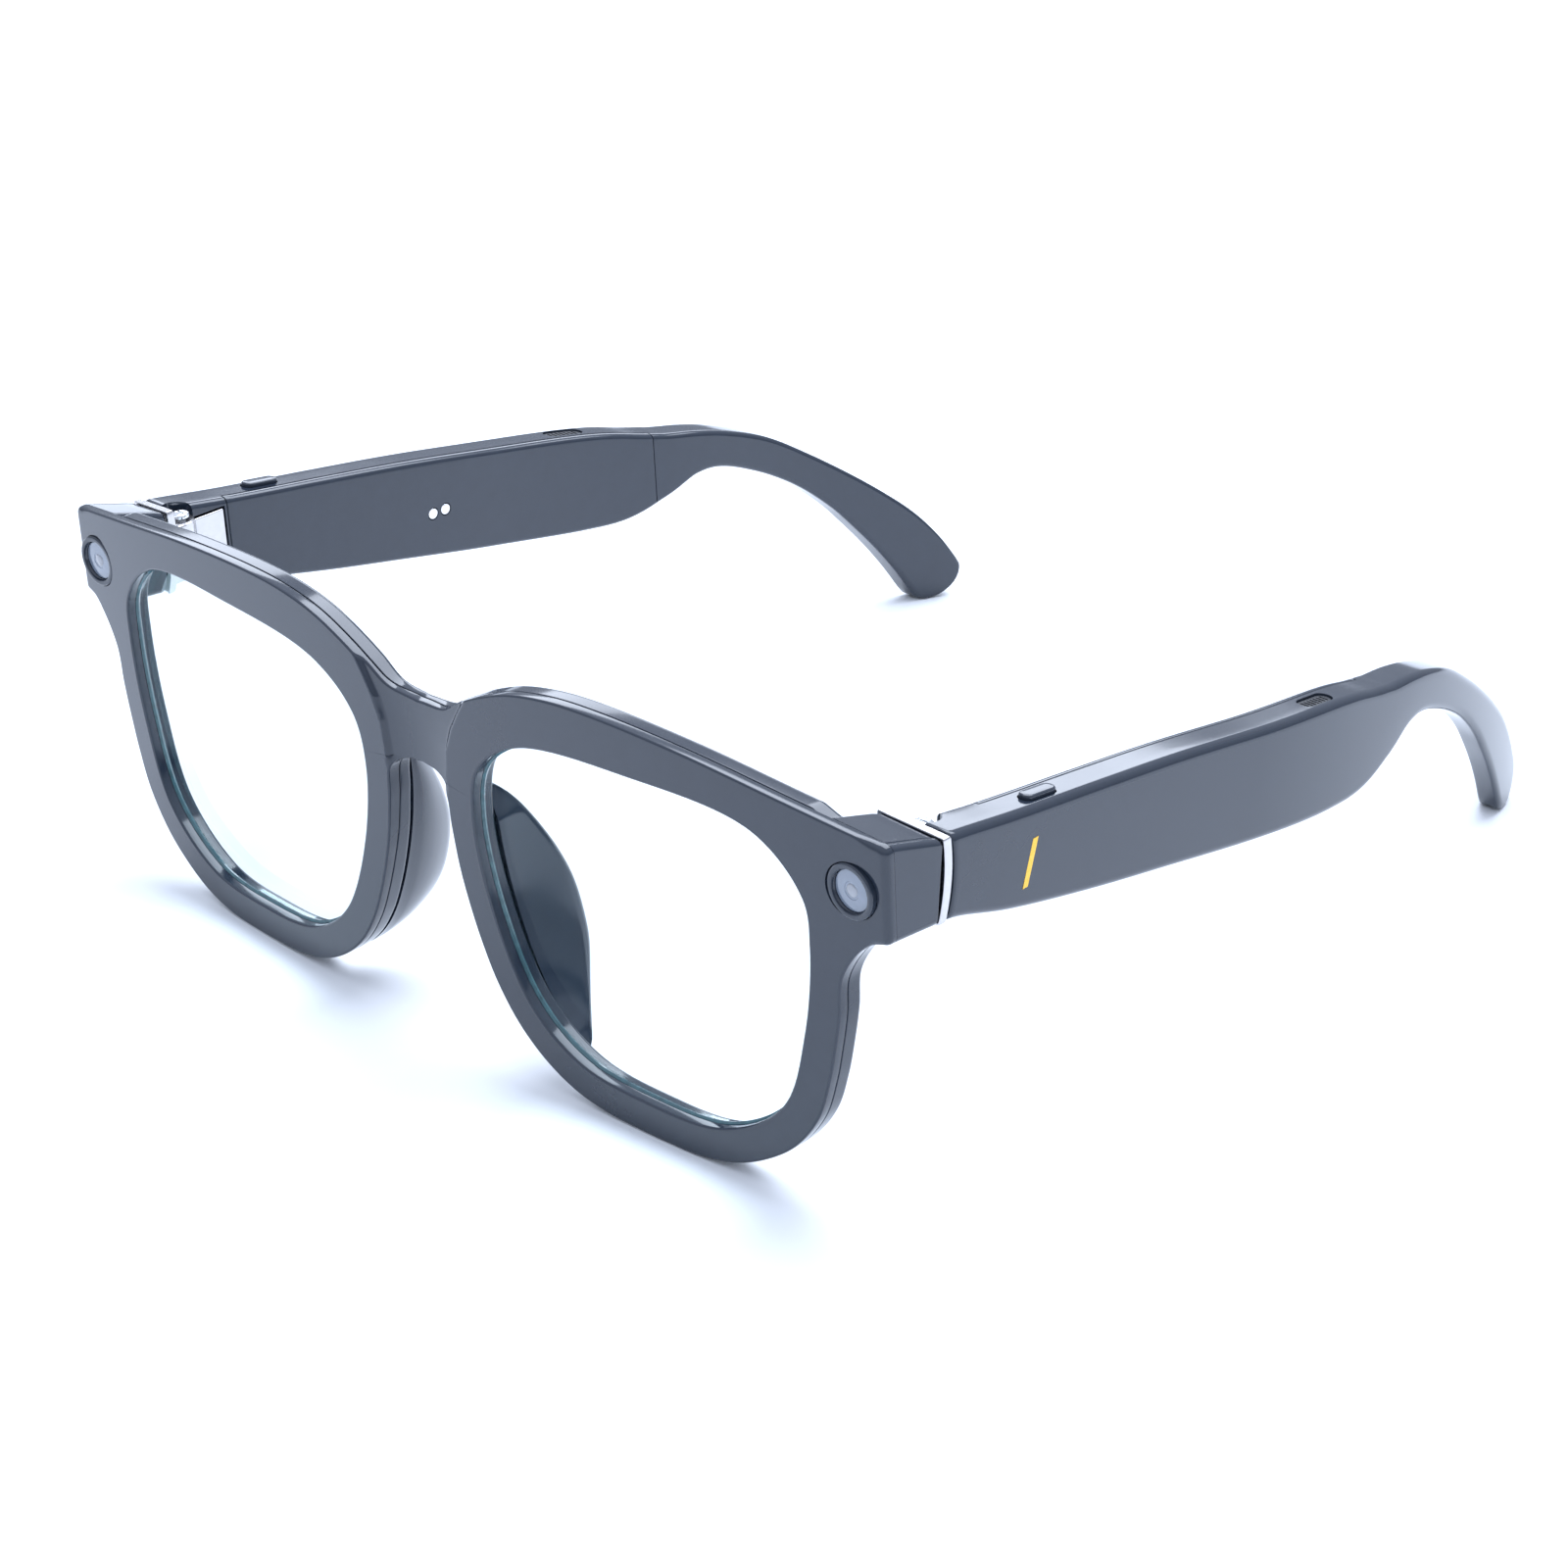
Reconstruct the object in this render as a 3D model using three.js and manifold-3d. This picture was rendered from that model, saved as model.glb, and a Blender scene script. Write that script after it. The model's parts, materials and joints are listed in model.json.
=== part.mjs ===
// Smart glasses: a camera spectacle frame with electronics in both temples.
// Millimetres, +Z up. The front faces -Y, the temples run back along +Y, and +X is the wearer's left.
import * as THREE from 'three';
import { mergeVertices } from 'three/addons/utils/BufferGeometryUtils.js';
import { TessellateModifier } from 'three/addons/modifiers/TessellateModifier.js';
import Module from 'manifold-3d';

const wasm = await Module();
wasm.setup();

// ---------------------------------------------------------------- driving dimensions
// Front
const lensWidth = 52;
const lensHeight = 42.7;
const bridgeWidth = 20;
const bridgeHeight = 8.2;
const rimWidth = 4.4;
const browHeight = 6.2;
const browFall = 4.1;
const endpieceReach = 11;
const endpieceHeight = 12;
const endpieceDepth = 8.7;
const endpieceTopSlope = 0.26;
const frontShellDepth = 1.3;
const rearShellDepth = 2.2;
const wingThickness = 1.2;
const faceCurve = 0.00091;
const lensThickness = 1.4;
const lensSeat = 0.8;
const noseDepth = 9.4;
const noseThickness = 4.2;
const noseHeight = 27;
const noseFlare = 0.3;
const noseTaper = 0.55;
// Camera and indicator
const bezelDiameter = 6.8;
const bezelProud = 0.35;
const bezelDepth = 1.7;
const windowDiameter = 4.6;
const windowThickness = 0.8;
const moduleSize = 4.6;
const moduleDepth = 4.4;
const flexWidth = 2.2;
const flexThickness = 0.25;
// Hinge
const plateThickness = 1.2;
const plateWidth = 9;
const plateBulge = 0.6;
const hingeRadius = 1.9;
const hingeInset = 6;
const screwRadius = 0.8;
const screwHeadRadius = 1.3;
const screwHeadHeight = 0.8;
const leafLength = 4.8;
const leafThickness = 1.8;
const leafStep = 0.8;
// Temple
const templeShaft = 94;
const templeThickness = 5.8;
const tipThickness = 4;
const templeFrontHeight = 10.6;
const templeSplay = 0.0257;
const tipCurl = 0.00244;
const outerWall = 1.2;
const edgeWall = 1.5;
const coverThickness = 1.2;
// Temple contents
const buttonLength = 5.4;
const buttonWidth = 2;
const buttonProud = 0.6;
const buttonTravel = 0.4;
const switchHeight = 1.2;
const buttonFromFront = 16.2;
const buttonFit = 0.2;
const batteryLength = 16.5;
const batteryHeight = 8;
const boardHeight = 8;
const boardThickness = 0.8;
const speakerLength = 10;
const speakerHeight = 7;
const boardGap = 3;
const grilleLength = 6.2;
const grilleWidth = 2.4;
const grilleDepth = 1;
const grilleRecess = 0.25;
const contactRadius = 0.8;
const contactPitch = 2.2;
const contactInset = 4;
const magnetRadius = 1.3;
const magnetThickness = 1;
const inlayHeight = 5.6;
const inlayWidth = 0.9;
const inlayDepth = 0.4;
// Fits
const fit = 0.3;
const shaftFit = 0.1;
const over = 1;

// ---------------------------------------------------------------- places that follow from them
const halfBridge = bridgeWidth / 2;
const halfWidth = halfBridge + lensWidth + endpieceReach;
const lensTop = rimWidth + lensHeight;
const browTop = lensTop + browHeight;
const endpieceTop = browTop - browFall;
const endpieceBottom = endpieceTop - endpieceHeight;
const bridgeTop = lensTop - 1.8;
const rearFace = frontShellDepth + fit;
const rimBack = rearFace + rearShellDepth;
const cameraX = halfWidth - bezelDiameter / 2 - 1.4;
const cameraZ = endpieceTop - endpieceHeight / 2 - 0.3;
const plateFace = endpieceDepth + fit;
const plateBack = plateFace + plateThickness;
const hingeX = halfWidth - hingeInset;
const sweep = (x) => faceCurve * x * x;
const hingeY = sweep(hingeX) + plateBack + plateBulge + hingeRadius;
const templeFront = sweep(halfWidth) + plateBack + plateBulge + fit;
const templeCentre = endpieceTop - endpieceHeight / 2 - endpieceTopSlope * endpieceDepth / 2 - 0.7;

// ---------------------------------------------------------------- materials
const material = (color, roughness, metalness = 0) =>
  new THREE.MeshStandardMaterial({ color, roughness, metalness });
const blackGloss = material(0x23262c, 0.15);
const blackSatin = material(0x1b1d22, 0.4);
const clearLens = new THREE.MeshStandardMaterial({
  color: 0xdceef0, roughness: 0.05, metalness: 0, transparent: true, opacity: 0.3,
});
const silver = material(0xc4c8cc, 0.3, 1);
const gold = material(0xd9a93a, 0.3, 1);
const smokedGlass = material(0x6f8298, 0.08);
const circuit = material(0x1f5a3a, 0.6);
const polyimide = material(0xb5722a, 0.5);
const foil = material(0xa9adb3, 0.4, 0.8);

// ---------------------------------------------------------------- solids
const toSolid = (geometry) => {
  const bare = new THREE.BufferGeometry();
  bare.setAttribute('position', geometry.getAttribute('position').clone());
  if (geometry.index) bare.setIndex(geometry.index.clone());
  const merged = mergeVertices(bare, 1e-4);
  return new wasm.Manifold(new wasm.Mesh({
    numProp: 3,
    vertProperties: new Float32Array(merged.getAttribute('position').array),
    triVerts: new Uint32Array(merged.index.array),
  }));
};

const toGeometry = (solid) => {
  const mesh = solid.getMesh();
  const geometry = new THREE.BufferGeometry();
  geometry.setAttribute('position', new THREE.BufferAttribute(mesh.vertProperties.slice(), 3));
  geometry.setIndex(new THREE.BufferAttribute(mesh.triVerts.slice(), 1));
  return geometry;
};

const cut = (base, ...tools) =>
  toGeometry(tools.reduce((left, tool) => left.subtract(toSolid(tool)), toSolid(base)));
const join = (base, ...more) =>
  toGeometry(more.reduce((sum, piece) => sum.add(toSolid(piece)), toSolid(base)));
const common = (base, tool) => toGeometry(toSolid(base).intersect(toSolid(tool)));

// Moves every vertex by a rule, which may mirror the solid.
const reshape = (geometry, rule, mirrored = false) => {
  const bent = geometry.index ? geometry.toNonIndexed() : geometry.clone();
  const position = bent.getAttribute('position');
  const point = new THREE.Vector3();
  for (let i = 0; i < position.count; i += 1) {
    point.fromBufferAttribute(position, i);
    rule(point);
    position.setXYZ(i, point.x, point.y, point.z);
  }
  const bare = new THREE.BufferGeometry();
  bare.setAttribute('position', position);
  const merged = mergeVertices(bare, 1e-4);
  if (mirrored) merged.index.array.reverse();
  return merged;
};

// Splits long edges so that a bend is followed closely.
const longestEdge = 16;
const split = (geometry) => {
  const bare = new THREE.BufferGeometry();
  bare.setAttribute('position', geometry.getAttribute('position').clone());
  if (geometry.index) bare.setIndex(geometry.index.clone());
  return new TessellateModifier(longestEdge, 8).modify(bare);
};

const mirrorX = (geometry) => reshape(geometry, (p) => { p.x = -p.x; }, true);

// ---------------------------------------------------------------- outlines
const smooth = (points, count, closed = false) => {
  const knots = points.map(([a, b]) => new THREE.Vector3(a, b, 0));
  const curve = new THREE.CatmullRomCurve3(knots, closed, 'centripetal');
  const samples = Array.from({ length: closed ? count : count + 1 }, (_, i) => curve.getPoint(i / count));
  return samples.map((p) => new THREE.Vector2(p.x, p.y));
};

// A band along stations of [along, across, width], with half an ellipse on its far end if asked.
const bandEdges = (stations, count) => {
  const knots = stations.map(([a, b, width]) => new THREE.Vector3(a, b, width));
  const path = new THREE.CatmullRomCurve3(knots, false, 'centripetal');
  const upper = [];
  const lower = [];
  for (let i = 0; i <= count; i += 1) {
    const p = path.getPoint(i / count);
    const t = path.getTangent(i / count);
    const side = new THREE.Vector2(-t.y, t.x).normalize().multiplyScalar(p.z / 2);
    upper.push(new THREE.Vector2(p.x, p.y).add(side));
    lower.push(new THREE.Vector2(p.x, p.y).sub(side));
  }
  return { upper, lower };
};

const capSteps = 8;
const ribbon = (stations, count, roundEnd = 0) => {
  const { upper, lower } = bandEdges(stations, count);
  const centre = upper[count].clone().add(lower[count]).multiplyScalar(0.5);
  const across = upper[count].clone().sub(centre);
  const ahead = new THREE.Vector2(across.y, -across.x).normalize().multiplyScalar(roundEnd);
  const cap = Array.from({ length: roundEnd > 0 ? capSteps - 1 : 0 }, (_, i) => {
    const turn = Math.PI * (i + 1) / capSteps;
    return centre.clone().addScaledVector(across, Math.cos(turn)).addScaledVector(ahead, Math.sin(turn));
  });
  return new THREE.Shape([...lower, ...cap.reverse(), ...upper.reverse()]);
};

const pill = (length, width) => {
  const straight = (length - width) / 2;
  const shape = new THREE.Shape();
  shape.absarc(straight, 0, width / 2, -Math.PI / 2, Math.PI / 2);
  shape.absarc(-straight, 0, width / 2, Math.PI / 2, Math.PI * 1.5);
  return shape;
};

// The lens opening, as fractions of its width and height from its nasal bottom corner.
const lensForm = [
  [0.50, 1.00], [0.16, 0.955], [0.03, 0.84], [0.00, 0.69], [0.035, 0.43], [0.14, 0.16], [0.285, 0.033],
  [0.50, 0.00], [0.73, 0.022], [0.905, 0.17], [0.975, 0.42], [1.00, 0.69], [0.985, 0.83], [0.86, 0.97],
];
const lensPoints = 38;
const lensOutline = (grow) => {
  const form = lensForm.map(([u, v]) => [halfBridge + u * lensWidth, rimWidth + v * lensHeight]);
  const points = smooth(form, lensPoints, true);
  return points.map((p, i) => {
    const before = points[(i + lensPoints - 1) % lensPoints];
    const heading = points[(i + 1) % lensPoints].clone().sub(before).normalize();
    return new THREE.Vector2(p.x + heading.y * grow, p.y - heading.x * grow);
  });
};

// One half of the front, from under the bridge round the rim and the endpiece to the top of the bridge.
const rimSide = lensOutline(rimWidth).filter((p) => p.y < endpieceBottom - 3.5);
const halfFront = (reach) => {
  const underBridge = smooth([
    [0, bridgeTop - bridgeHeight], [halfBridge * 0.3, bridgeTop - bridgeHeight - 0.4],
    [halfBridge * 0.5, bridgeTop - bridgeHeight - 1.5], [rimSide[0].x, rimSide[0].y + 0.8],
  ], 5);
  const notch = [
    [halfWidth - 4.4, endpieceBottom - 2.2], [halfWidth - 2.8, endpieceBottom - 0.7],
    [reach, endpieceBottom], [reach, endpieceTop],
  ].map(([x, z]) => new THREE.Vector2(x, z));
  const brow = smooth([
    [halfWidth, endpieceTop], [halfWidth - 13, endpieceTop + 1.7],
    [halfBridge + lensWidth * 0.68, browTop - 0.7],
    [halfBridge + lensWidth * 0.42, browTop], [halfBridge + lensWidth * 0.27, browTop - 0.3],
    [halfBridge + lensWidth * 0.15, browTop - 1.4], [halfBridge + lensWidth * 0.06, browTop - 3.1],
    [halfBridge * 0.86, bridgeTop + 2.7], [halfBridge * 0.52, bridgeTop + 0.6], [0, bridgeTop],
  ], 20).filter((p) => p.x < reach - 0.5);
  return [...underBridge, ...rimSide, ...notch, ...brow];
};

const flipped = (points) => points.map((p) => new THREE.Vector2(-p.x, p.y)).reverse();
const frontShape = (reach, openings) => {
  const half = halfFront(reach);
  const shape = new THREE.Shape([...half, ...flipped(half.slice(1, -1))]);
  shape.holes = [openings, flipped(openings)].map((points) => new THREE.Path(points));
  return shape;
};

// Side view of the endpiece, between two depths, with its leaning, bowed back edge.
const endpieceLean = 1.2;
const bowSteps = 6;
const topAt = (y) => endpieceTop - endpieceTopSlope * y;
const bottomAt = (y) => endpieceBottom - 0.06 * y;
const bowedEdge = (y) => Array.from({ length: bowSteps + 1 }, (_, i) => {
  const rise = i / bowSteps;
  const bow = plateBulge * 4 * rise * (1 - rise) - endpieceLean * (1 - rise);
  const top = topAt(y);
  const bottom = bottomAt(y);
  return new THREE.Vector2(y + bow, bottom + (top - bottom) * rise);
});
const endpieceShape = (frontDepth, backDepth) => new THREE.Shape([
  new THREE.Vector2(frontDepth, bottomAt(frontDepth)), ...bowedEdge(backDepth),
  new THREE.Vector2(frontDepth, topAt(frontDepth)),
]);
const bowedBand = (frontDepth, backDepth) =>
  new THREE.Shape([...bowedEdge(backDepth), ...bowedEdge(frontDepth).reverse()]);

// ---------------------------------------------------------------- placing extrusions
const extrude = (shape, depth) =>
  new THREE.ExtrudeGeometry(shape, { depth, bevelEnabled: false, curveSegments: 5 });
const along = (...axes) => new THREE.Matrix4().makeBasis(...axes.map((axis) => new THREE.Vector3(...axis)));

// An (x, z) outline made solid from depth y.
const slab = (shape, y, depth) => extrude(shape, depth).applyMatrix4(along([1, 0, 0], [0, 0, 1], [0, -1, 0]))
  .translate(0, y + depth, 0);
// A (y, z) outline made solid from x.
const across = (shape, x, depth) => extrude(shape, depth).applyMatrix4(along([0, 1, 0], [0, 0, 1], [1, 0, 0]))
  .translate(x, 0, 0);
const block = (low, high) => {
  const size = high.map((value, i) => value - low[i]);
  return new THREE.BoxGeometry(...size).translate(...high.map((value, i) => (value + low[i]) / 2));
};
const roundBar = (radius, length, sides = 16) => new THREE.CylinderGeometry(radius, radius, length, sides);
const ring = (inner, outer, length) => new THREE.LatheGeometry([
  [inner, 0], [outer, 0], [outer, length], [inner, length], [inner, 0],
].map(([r, h]) => new THREE.Vector2(r, h)), 28);

// Gives a flat front piece the sweep of the face.
const wrap = (geometry) => reshape(split(geometry), (p) => { p.y += sweep(p.x); });

// ---------------------------------------------------------------- the model
const glasses = new THREE.Group();
const put = (name, geometry, finish) => {
  const mesh = new THREE.Mesh(geometry, finish);
  mesh.name = name;
  glasses.add(mesh);
};
// Pieces are drawn on the wearer's left, +X, and mirrored for the right.
const putPair = (name, geometry, finish) => {
  put(`${name}_left`, geometry, finish);
  put(`${name}_right`, mirrorX(geometry), finish);
};
const bothSides = (geometry) => [geometry, mirrorX(geometry)];

// ---- front: two shells closed on the lenses, the camera, the indicator and their cable
const addFront = () => {
  const bezelHole = roundBar(bezelDiameter / 2 + fit, over + bezelDepth + fit, 24)
    .translate(cameraX, (bezelDepth + fit - over) / 2, cameraZ);
  const wing = across(endpieceShape(0, endpieceDepth), halfWidth - wingThickness, wingThickness);
  const frontPlate = slab(frontShape(halfWidth, lensOutline(0)), 0, frontShellDepth);
  const frontShell = cut(join(frontPlate, ...bothSides(wing)), ...bothSides(bezelHole));
  put('front_shell', wrap(frontShell), blackGloss);

  const rearReach = halfWidth - wingThickness - fit;
  const rearPlate = slab(frontShape(rearReach, lensOutline(0)), rearFace, rearShellDepth);
  const endBlock = across(endpieceShape(rearFace, endpieceDepth), rearReach - plateWidth, plateWidth);
  const lensPocket = slab(
    new THREE.Shape(lensOutline(lensSeat + fit)), rearFace - over, over + lensThickness + fit,
  );
  const moduleHalf = moduleSize / 2 + fit;
  const modulePocket = block(
    [cameraX - moduleHalf, rearFace - over, cameraZ - moduleHalf],
    [cameraX + moduleHalf, bezelDepth + moduleDepth + 2 * fit, cameraZ + moduleHalf],
  );
  const cablePath = (width, start) => {
    const right = [
      start, [halfWidth - 15, endpieceTop - 0.6], [halfBridge + lensWidth * 0.68, browTop - 3.4],
      [halfBridge + lensWidth * 0.40, browTop - 3.1], [halfBridge + lensWidth * 0.2, browTop - 4.3],
      [halfBridge + 2.4, browTop - 7.3], [halfBridge - 1.2, browTop - 9.4], [halfBridge / 2, bridgeTop - 3.2],
    ];
    const left = right.map(([x, z]) => [-x, z]).reverse();
    return [...right, [0, bridgeTop - bridgeHeight / 2], ...left].map(([x, z]) => [x, z, width]);
  };
  const cableStart = [cameraX - moduleHalf - flexWidth / 2, endpieceTop - 2.4];
  const channel = slab(
    ribbon(cablePath(flexWidth + 2 * fit, [cameraX - moduleHalf + over, endpieceTop - 3.4]), 34),
    rearFace - over,
    over + flexThickness + 2 * fit,
  );
  const rearShell = cut(
    join(rearPlate, ...bothSides(endBlock)),
    channel,
    ...bothSides(lensPocket),
    ...bothSides(modulePocket),
    ...bothSides(bezelHole),
  );
  put('rear_shell', wrap(rearShell), blackGloss);
  const cable = slab(ribbon(cablePath(flexWidth, cableStart), 34), rearFace + fit, flexThickness);
  put('front_flex_cable', wrap(cable), polyimide);

  const lens = slab(new THREE.Shape(lensOutline(lensSeat)), rearFace, lensThickness);
  putPair('lens', wrap(lens), clearLens);
};

// ---- camera on the wearer's left, recording light on the right, in matching bezels
const addEyes = () => {
  const windowFit = 0.15;
  const windowFace = 0.5;
  const atCamera = (geometry) => wrap(geometry.translate(cameraX, 0, cameraZ));
  const bezel = ring(windowDiameter / 2 + windowFit, bezelDiameter / 2, bezelDepth + bezelProud)
    .translate(0, -bezelProud, 0);
  const window = roundBar(windowDiameter / 2, windowThickness, 28)
    .translate(0, windowFace + windowThickness / 2, 0);
  const moduleFace = bezelDepth + fit;
  const half = moduleSize / 2;
  const module = block([-half, moduleFace, -half], [half, moduleFace + moduleDepth, half]);
  const places = { left: 'camera', right: 'indicator' };
  Object.entries(places).forEach(([side, name]) => {
    const turn = (geometry) => (side === 'left' ? geometry : mirrorX(geometry));
    put(`${name}_bezel`, turn(atCamera(bezel.clone())), blackGloss);
    put(`${name}_window`, turn(atCamera(window.clone())), smokedGlass);
    put(`${name}_module`, turn(atCamera(module.clone())), blackSatin);
  });
};

// ---- nose pads, moulded to flow back and outwards from the nasal side of each rim
const addNosePads = () => {
  const base = rimBack + fit;
  const outline = smooth([
    [base, 3.4], [base + noseDepth * 0.3, 4.6], [base + noseDepth * 0.62, 8], [base + noseDepth * 0.86, 12],
    [base + noseDepth, noseHeight * 0.63], [base + noseDepth * 0.93, noseHeight * 0.83],
    [base + noseDepth * 0.62, noseHeight * 1.02], [base + noseDepth * 0.24, noseHeight * 1.18],
    [base, noseHeight * 1.26],
  ], 16);
  const isNasal = (p) => p.x < halfBridge + lensWidth / 2 && p.y < noseHeight * 1.25;
  const nasal = lensOutline(rimWidth).filter(isNasal);
  const nasalEdge = (z) => {
    const above = nasal.findIndex((p) => p.y <= z);
    if (above <= 0) return nasal[above === 0 ? 0 : nasal.length - 1].x;
    const [a, b] = [nasal[above - 1], nasal[above]];
    return a.x + (b.x - a.x) * (a.y - z) / (a.y - b.y);
  };
  const pad = across(new THREE.Shape(outline), 0, noseThickness);
  putPair('nose_pad', reshape(split(pad), (p) => {
    const back = (p.y - base) / noseDepth;
    const flare = noseFlare * p.z / noseHeight;
    p.x = nasalEdge(p.z) + flare * noseDepth * back + p.x * (1 - noseTaper * back);
    p.y += sweep(p.x);
  }), blackGloss);
};

// ---- hinge: a plate with two knuckles on the front, a leaf with one on the temple, and a screw
const hingeTop = templeCentre + templeFrontHeight / 2 - 1.7;
const hingeHeight = templeFrontHeight - 2.6;
const knuckleHeight = hingeHeight / 3;
const upright = (radius, low, high, sides = 20) => roundBar(radius, high - low, sides).rotateX(Math.PI / 2)
  .translate(hingeX, hingeY, (low + high) / 2);
const leafLow = hingeTop - 2 * knuckleHeight + fit / 2;
const leafHigh = hingeTop - knuckleHeight - fit / 2;
const addHinges = () => {
  const plate = wrap(across(bowedBand(plateFace, plateBack), halfWidth - plateWidth, plateWidth));
  const bore = upright(screwRadius + shaftFit, hingeTop - hingeHeight - over, hingeTop + over);
  const webFront = sweep(hingeX) + plateBack - endpieceLean;
  const web = block(
    [hingeX - hingeRadius, webFront, hingeTop - hingeHeight], [leafInner, hingeY, hingeTop],
  );
  const between = block(
    [hingeX - 2 * hingeRadius, hingeY - hingeRadius - fit, leafLow - fit],
    [hingeX + 2 * hingeRadius, hingeY + 2 * hingeRadius, leafHigh + fit],
  );
  const barrel = upright(hingeRadius, hingeTop - hingeHeight, hingeTop);
  const bracket = cut(join(plate, web, barrel), between, bore);
  putPair('hinge_plate', bracket, silver);
  const screw = join(
    upright(screwRadius, hingeTop - hingeHeight, hingeTop + fit + screwHeadHeight / 2),
    upright(screwHeadRadius, hingeTop + fit, hingeTop + fit + screwHeadHeight),
  );
  putPair('hinge_screw', screw, silver);
};

// ---- temples
const shaftAt = (fraction) => templeFront + fraction * templeShaft;
const templeStations = (inset) => {
  const shaft = [
    [-0.06, -0.9, 0], [0.01, 0.1, 0], [0.11, 2.4, 1.4], [0.26, 5.2, 2.8], [0.41, 7.8, 3.6], [0.58, 10.9, 4.0],
    [0.75, 13.7, 3.9], [0.82, 14.7, 2.8], [0.885, 14.7, -0.2], [0.95, 14.3, -3.7], [1.0, 15.0, -5.0],
  ].map(([fraction, fall, swell]) => [shaftAt(fraction), templeCentre - fall, templeFrontHeight + swell]);
  const [bendY, bendZ] = shaft[shaft.length - 1];
  const tip = [
    [7, 2.8, 5.4], [14.2, 7.3, 5.1], [20.5, 12.4, 5.8], [24.9, 16.7, 6.9], [29, 21.2, 7.9], [32.3, 25.7, 8.4],
    [34.9, 30.1, 8.5],
  ].map(([back, fall, width]) => [bendY + back, bendZ - fall, width]);
  return [...shaft, ...tip].map(([y, z, width]) => [y, z, width - 2 * inset]);
};
const templeSteps = 36;
const tipRound = 3;
const templeEdges = bandEdges(templeStations(0), 4 * templeSteps);
const edgeAt = (edge, y) => {
  const after = edge.findIndex((p) => p.x >= y);
  const [a, b] = [edge[after - 1], edge[after]];
  const slope = (b.y - a.y) / (b.x - a.x);
  return { z: a.y + slope * (y - a.x), angle: Math.atan(slope) };
};
const middleAt = (y) => (edgeAt(templeEdges.upper, y).z + edgeAt(templeEdges.lower, y).z) / 2;

// Inside the temple's own frame x is the depth from its outer face, and y and z are as on the glasses.
const curlStart = shaftAt(0.565);
const outerFace = (y) =>
  halfWidth - templeSplay * (y - templeFront) - tipCurl * Math.max(0, y - curlStart) ** 2;
const leafInner = outerFace(hingeY) - templeThickness - fit;
const thicknessAt = (y) => {
  const run = THREE.MathUtils.smoothstep(y, shaftAt(0.88), shaftAt(1.2));
  return THREE.MathUtils.lerp(templeThickness, tipThickness, run);
};
const curl = (geometry) => reshape(split(geometry), (p) => {
  p.x = outerFace(p.y) - p.x * thicknessAt(p.y) / templeThickness;
}, true);

const templeBand = (inset, from, to, depthFrom, depthTo) => common(
  across(ribbon(templeStations(inset), templeSteps), depthFrom, depthTo - depthFrom),
  block([depthFrom - over, from, -browTop], [depthTo + over, to, 2 * browTop]),
);
// A piece on the temple's top edge: a pill seen from above, from one height to a lower one.
const topDepth = (templeThickness - coverThickness) / 2 + 0.3;
const onTop = (shape, y, from, to) => {
  const { z, angle } = edgeAt(templeEdges.upper, y);
  return extrude(shape, from - to).applyMatrix4(along([0, 1, 0], [1, 0, 0], [0, 0, -1])).translate(0, 0, from)
    .rotateX(angle).translate(topDepth, y, z);
};

const coverFrom = templeFront + 8.6;
const coverTo = shaftAt(0.87);
const coverDepth = templeThickness - coverThickness;
const pocketFrom = coverFrom + 2.4;
const pocketTo = coverTo - 3;
const buttonY = templeFront + buttonFromFront;
const speakerTo = pocketTo - 3;
const grilleY = speakerTo - speakerLength * 0.7;
const batteryFrom = buttonY + 4.6;
const boardFrom = batteryFrom + batteryLength + 2.2;
const boardLength = speakerTo - speakerLength - boardGap - boardFrom;
const contactY = boardFrom + contactInset;
const contactZ = middleAt(contactY) - 0.6;
const partDepth = outerWall + fit;
const speakerThickness = coverDepth - fit - partDepth;
const batteryThickness = speakerThickness - fit - flexThickness;
const sideBar = (radius, depthFrom, depthTo, y, z, sides = 16) => roundBar(radius, depthTo - depthFrom, sides)
  .rotateZ(Math.PI / 2).translate((depthFrom + depthTo) / 2, y, z);
// A flat component that follows the temple's middle line.
const inPocket = (from, length, height, depthFrom, thickness) => {
  const steps = 4;
  const line = Array.from({ length: steps + 1 }, (_, i) => {
    const y = from + length * i / steps;
    return [y, middleAt(y), height];
  });
  return across(ribbon(line, steps), depthFrom, thickness);
};

const inlayShape = () => {
  const y = templeFront + 12;
  const z = middleAt(y) - 0.4;
  const lean = inlayWidth * 1.1;
  return new THREE.Shape([
    [y - lean - inlayWidth / 2, z - inlayHeight / 2], [y - lean + inlayWidth / 2, z - inlayHeight / 2],
    [y + lean + inlayWidth / 2, z + inlayHeight / 2], [y + lean - inlayWidth / 2, z + inlayHeight / 2],
  ].map(([a, b]) => new THREE.Vector2(a, b)));
};

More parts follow.
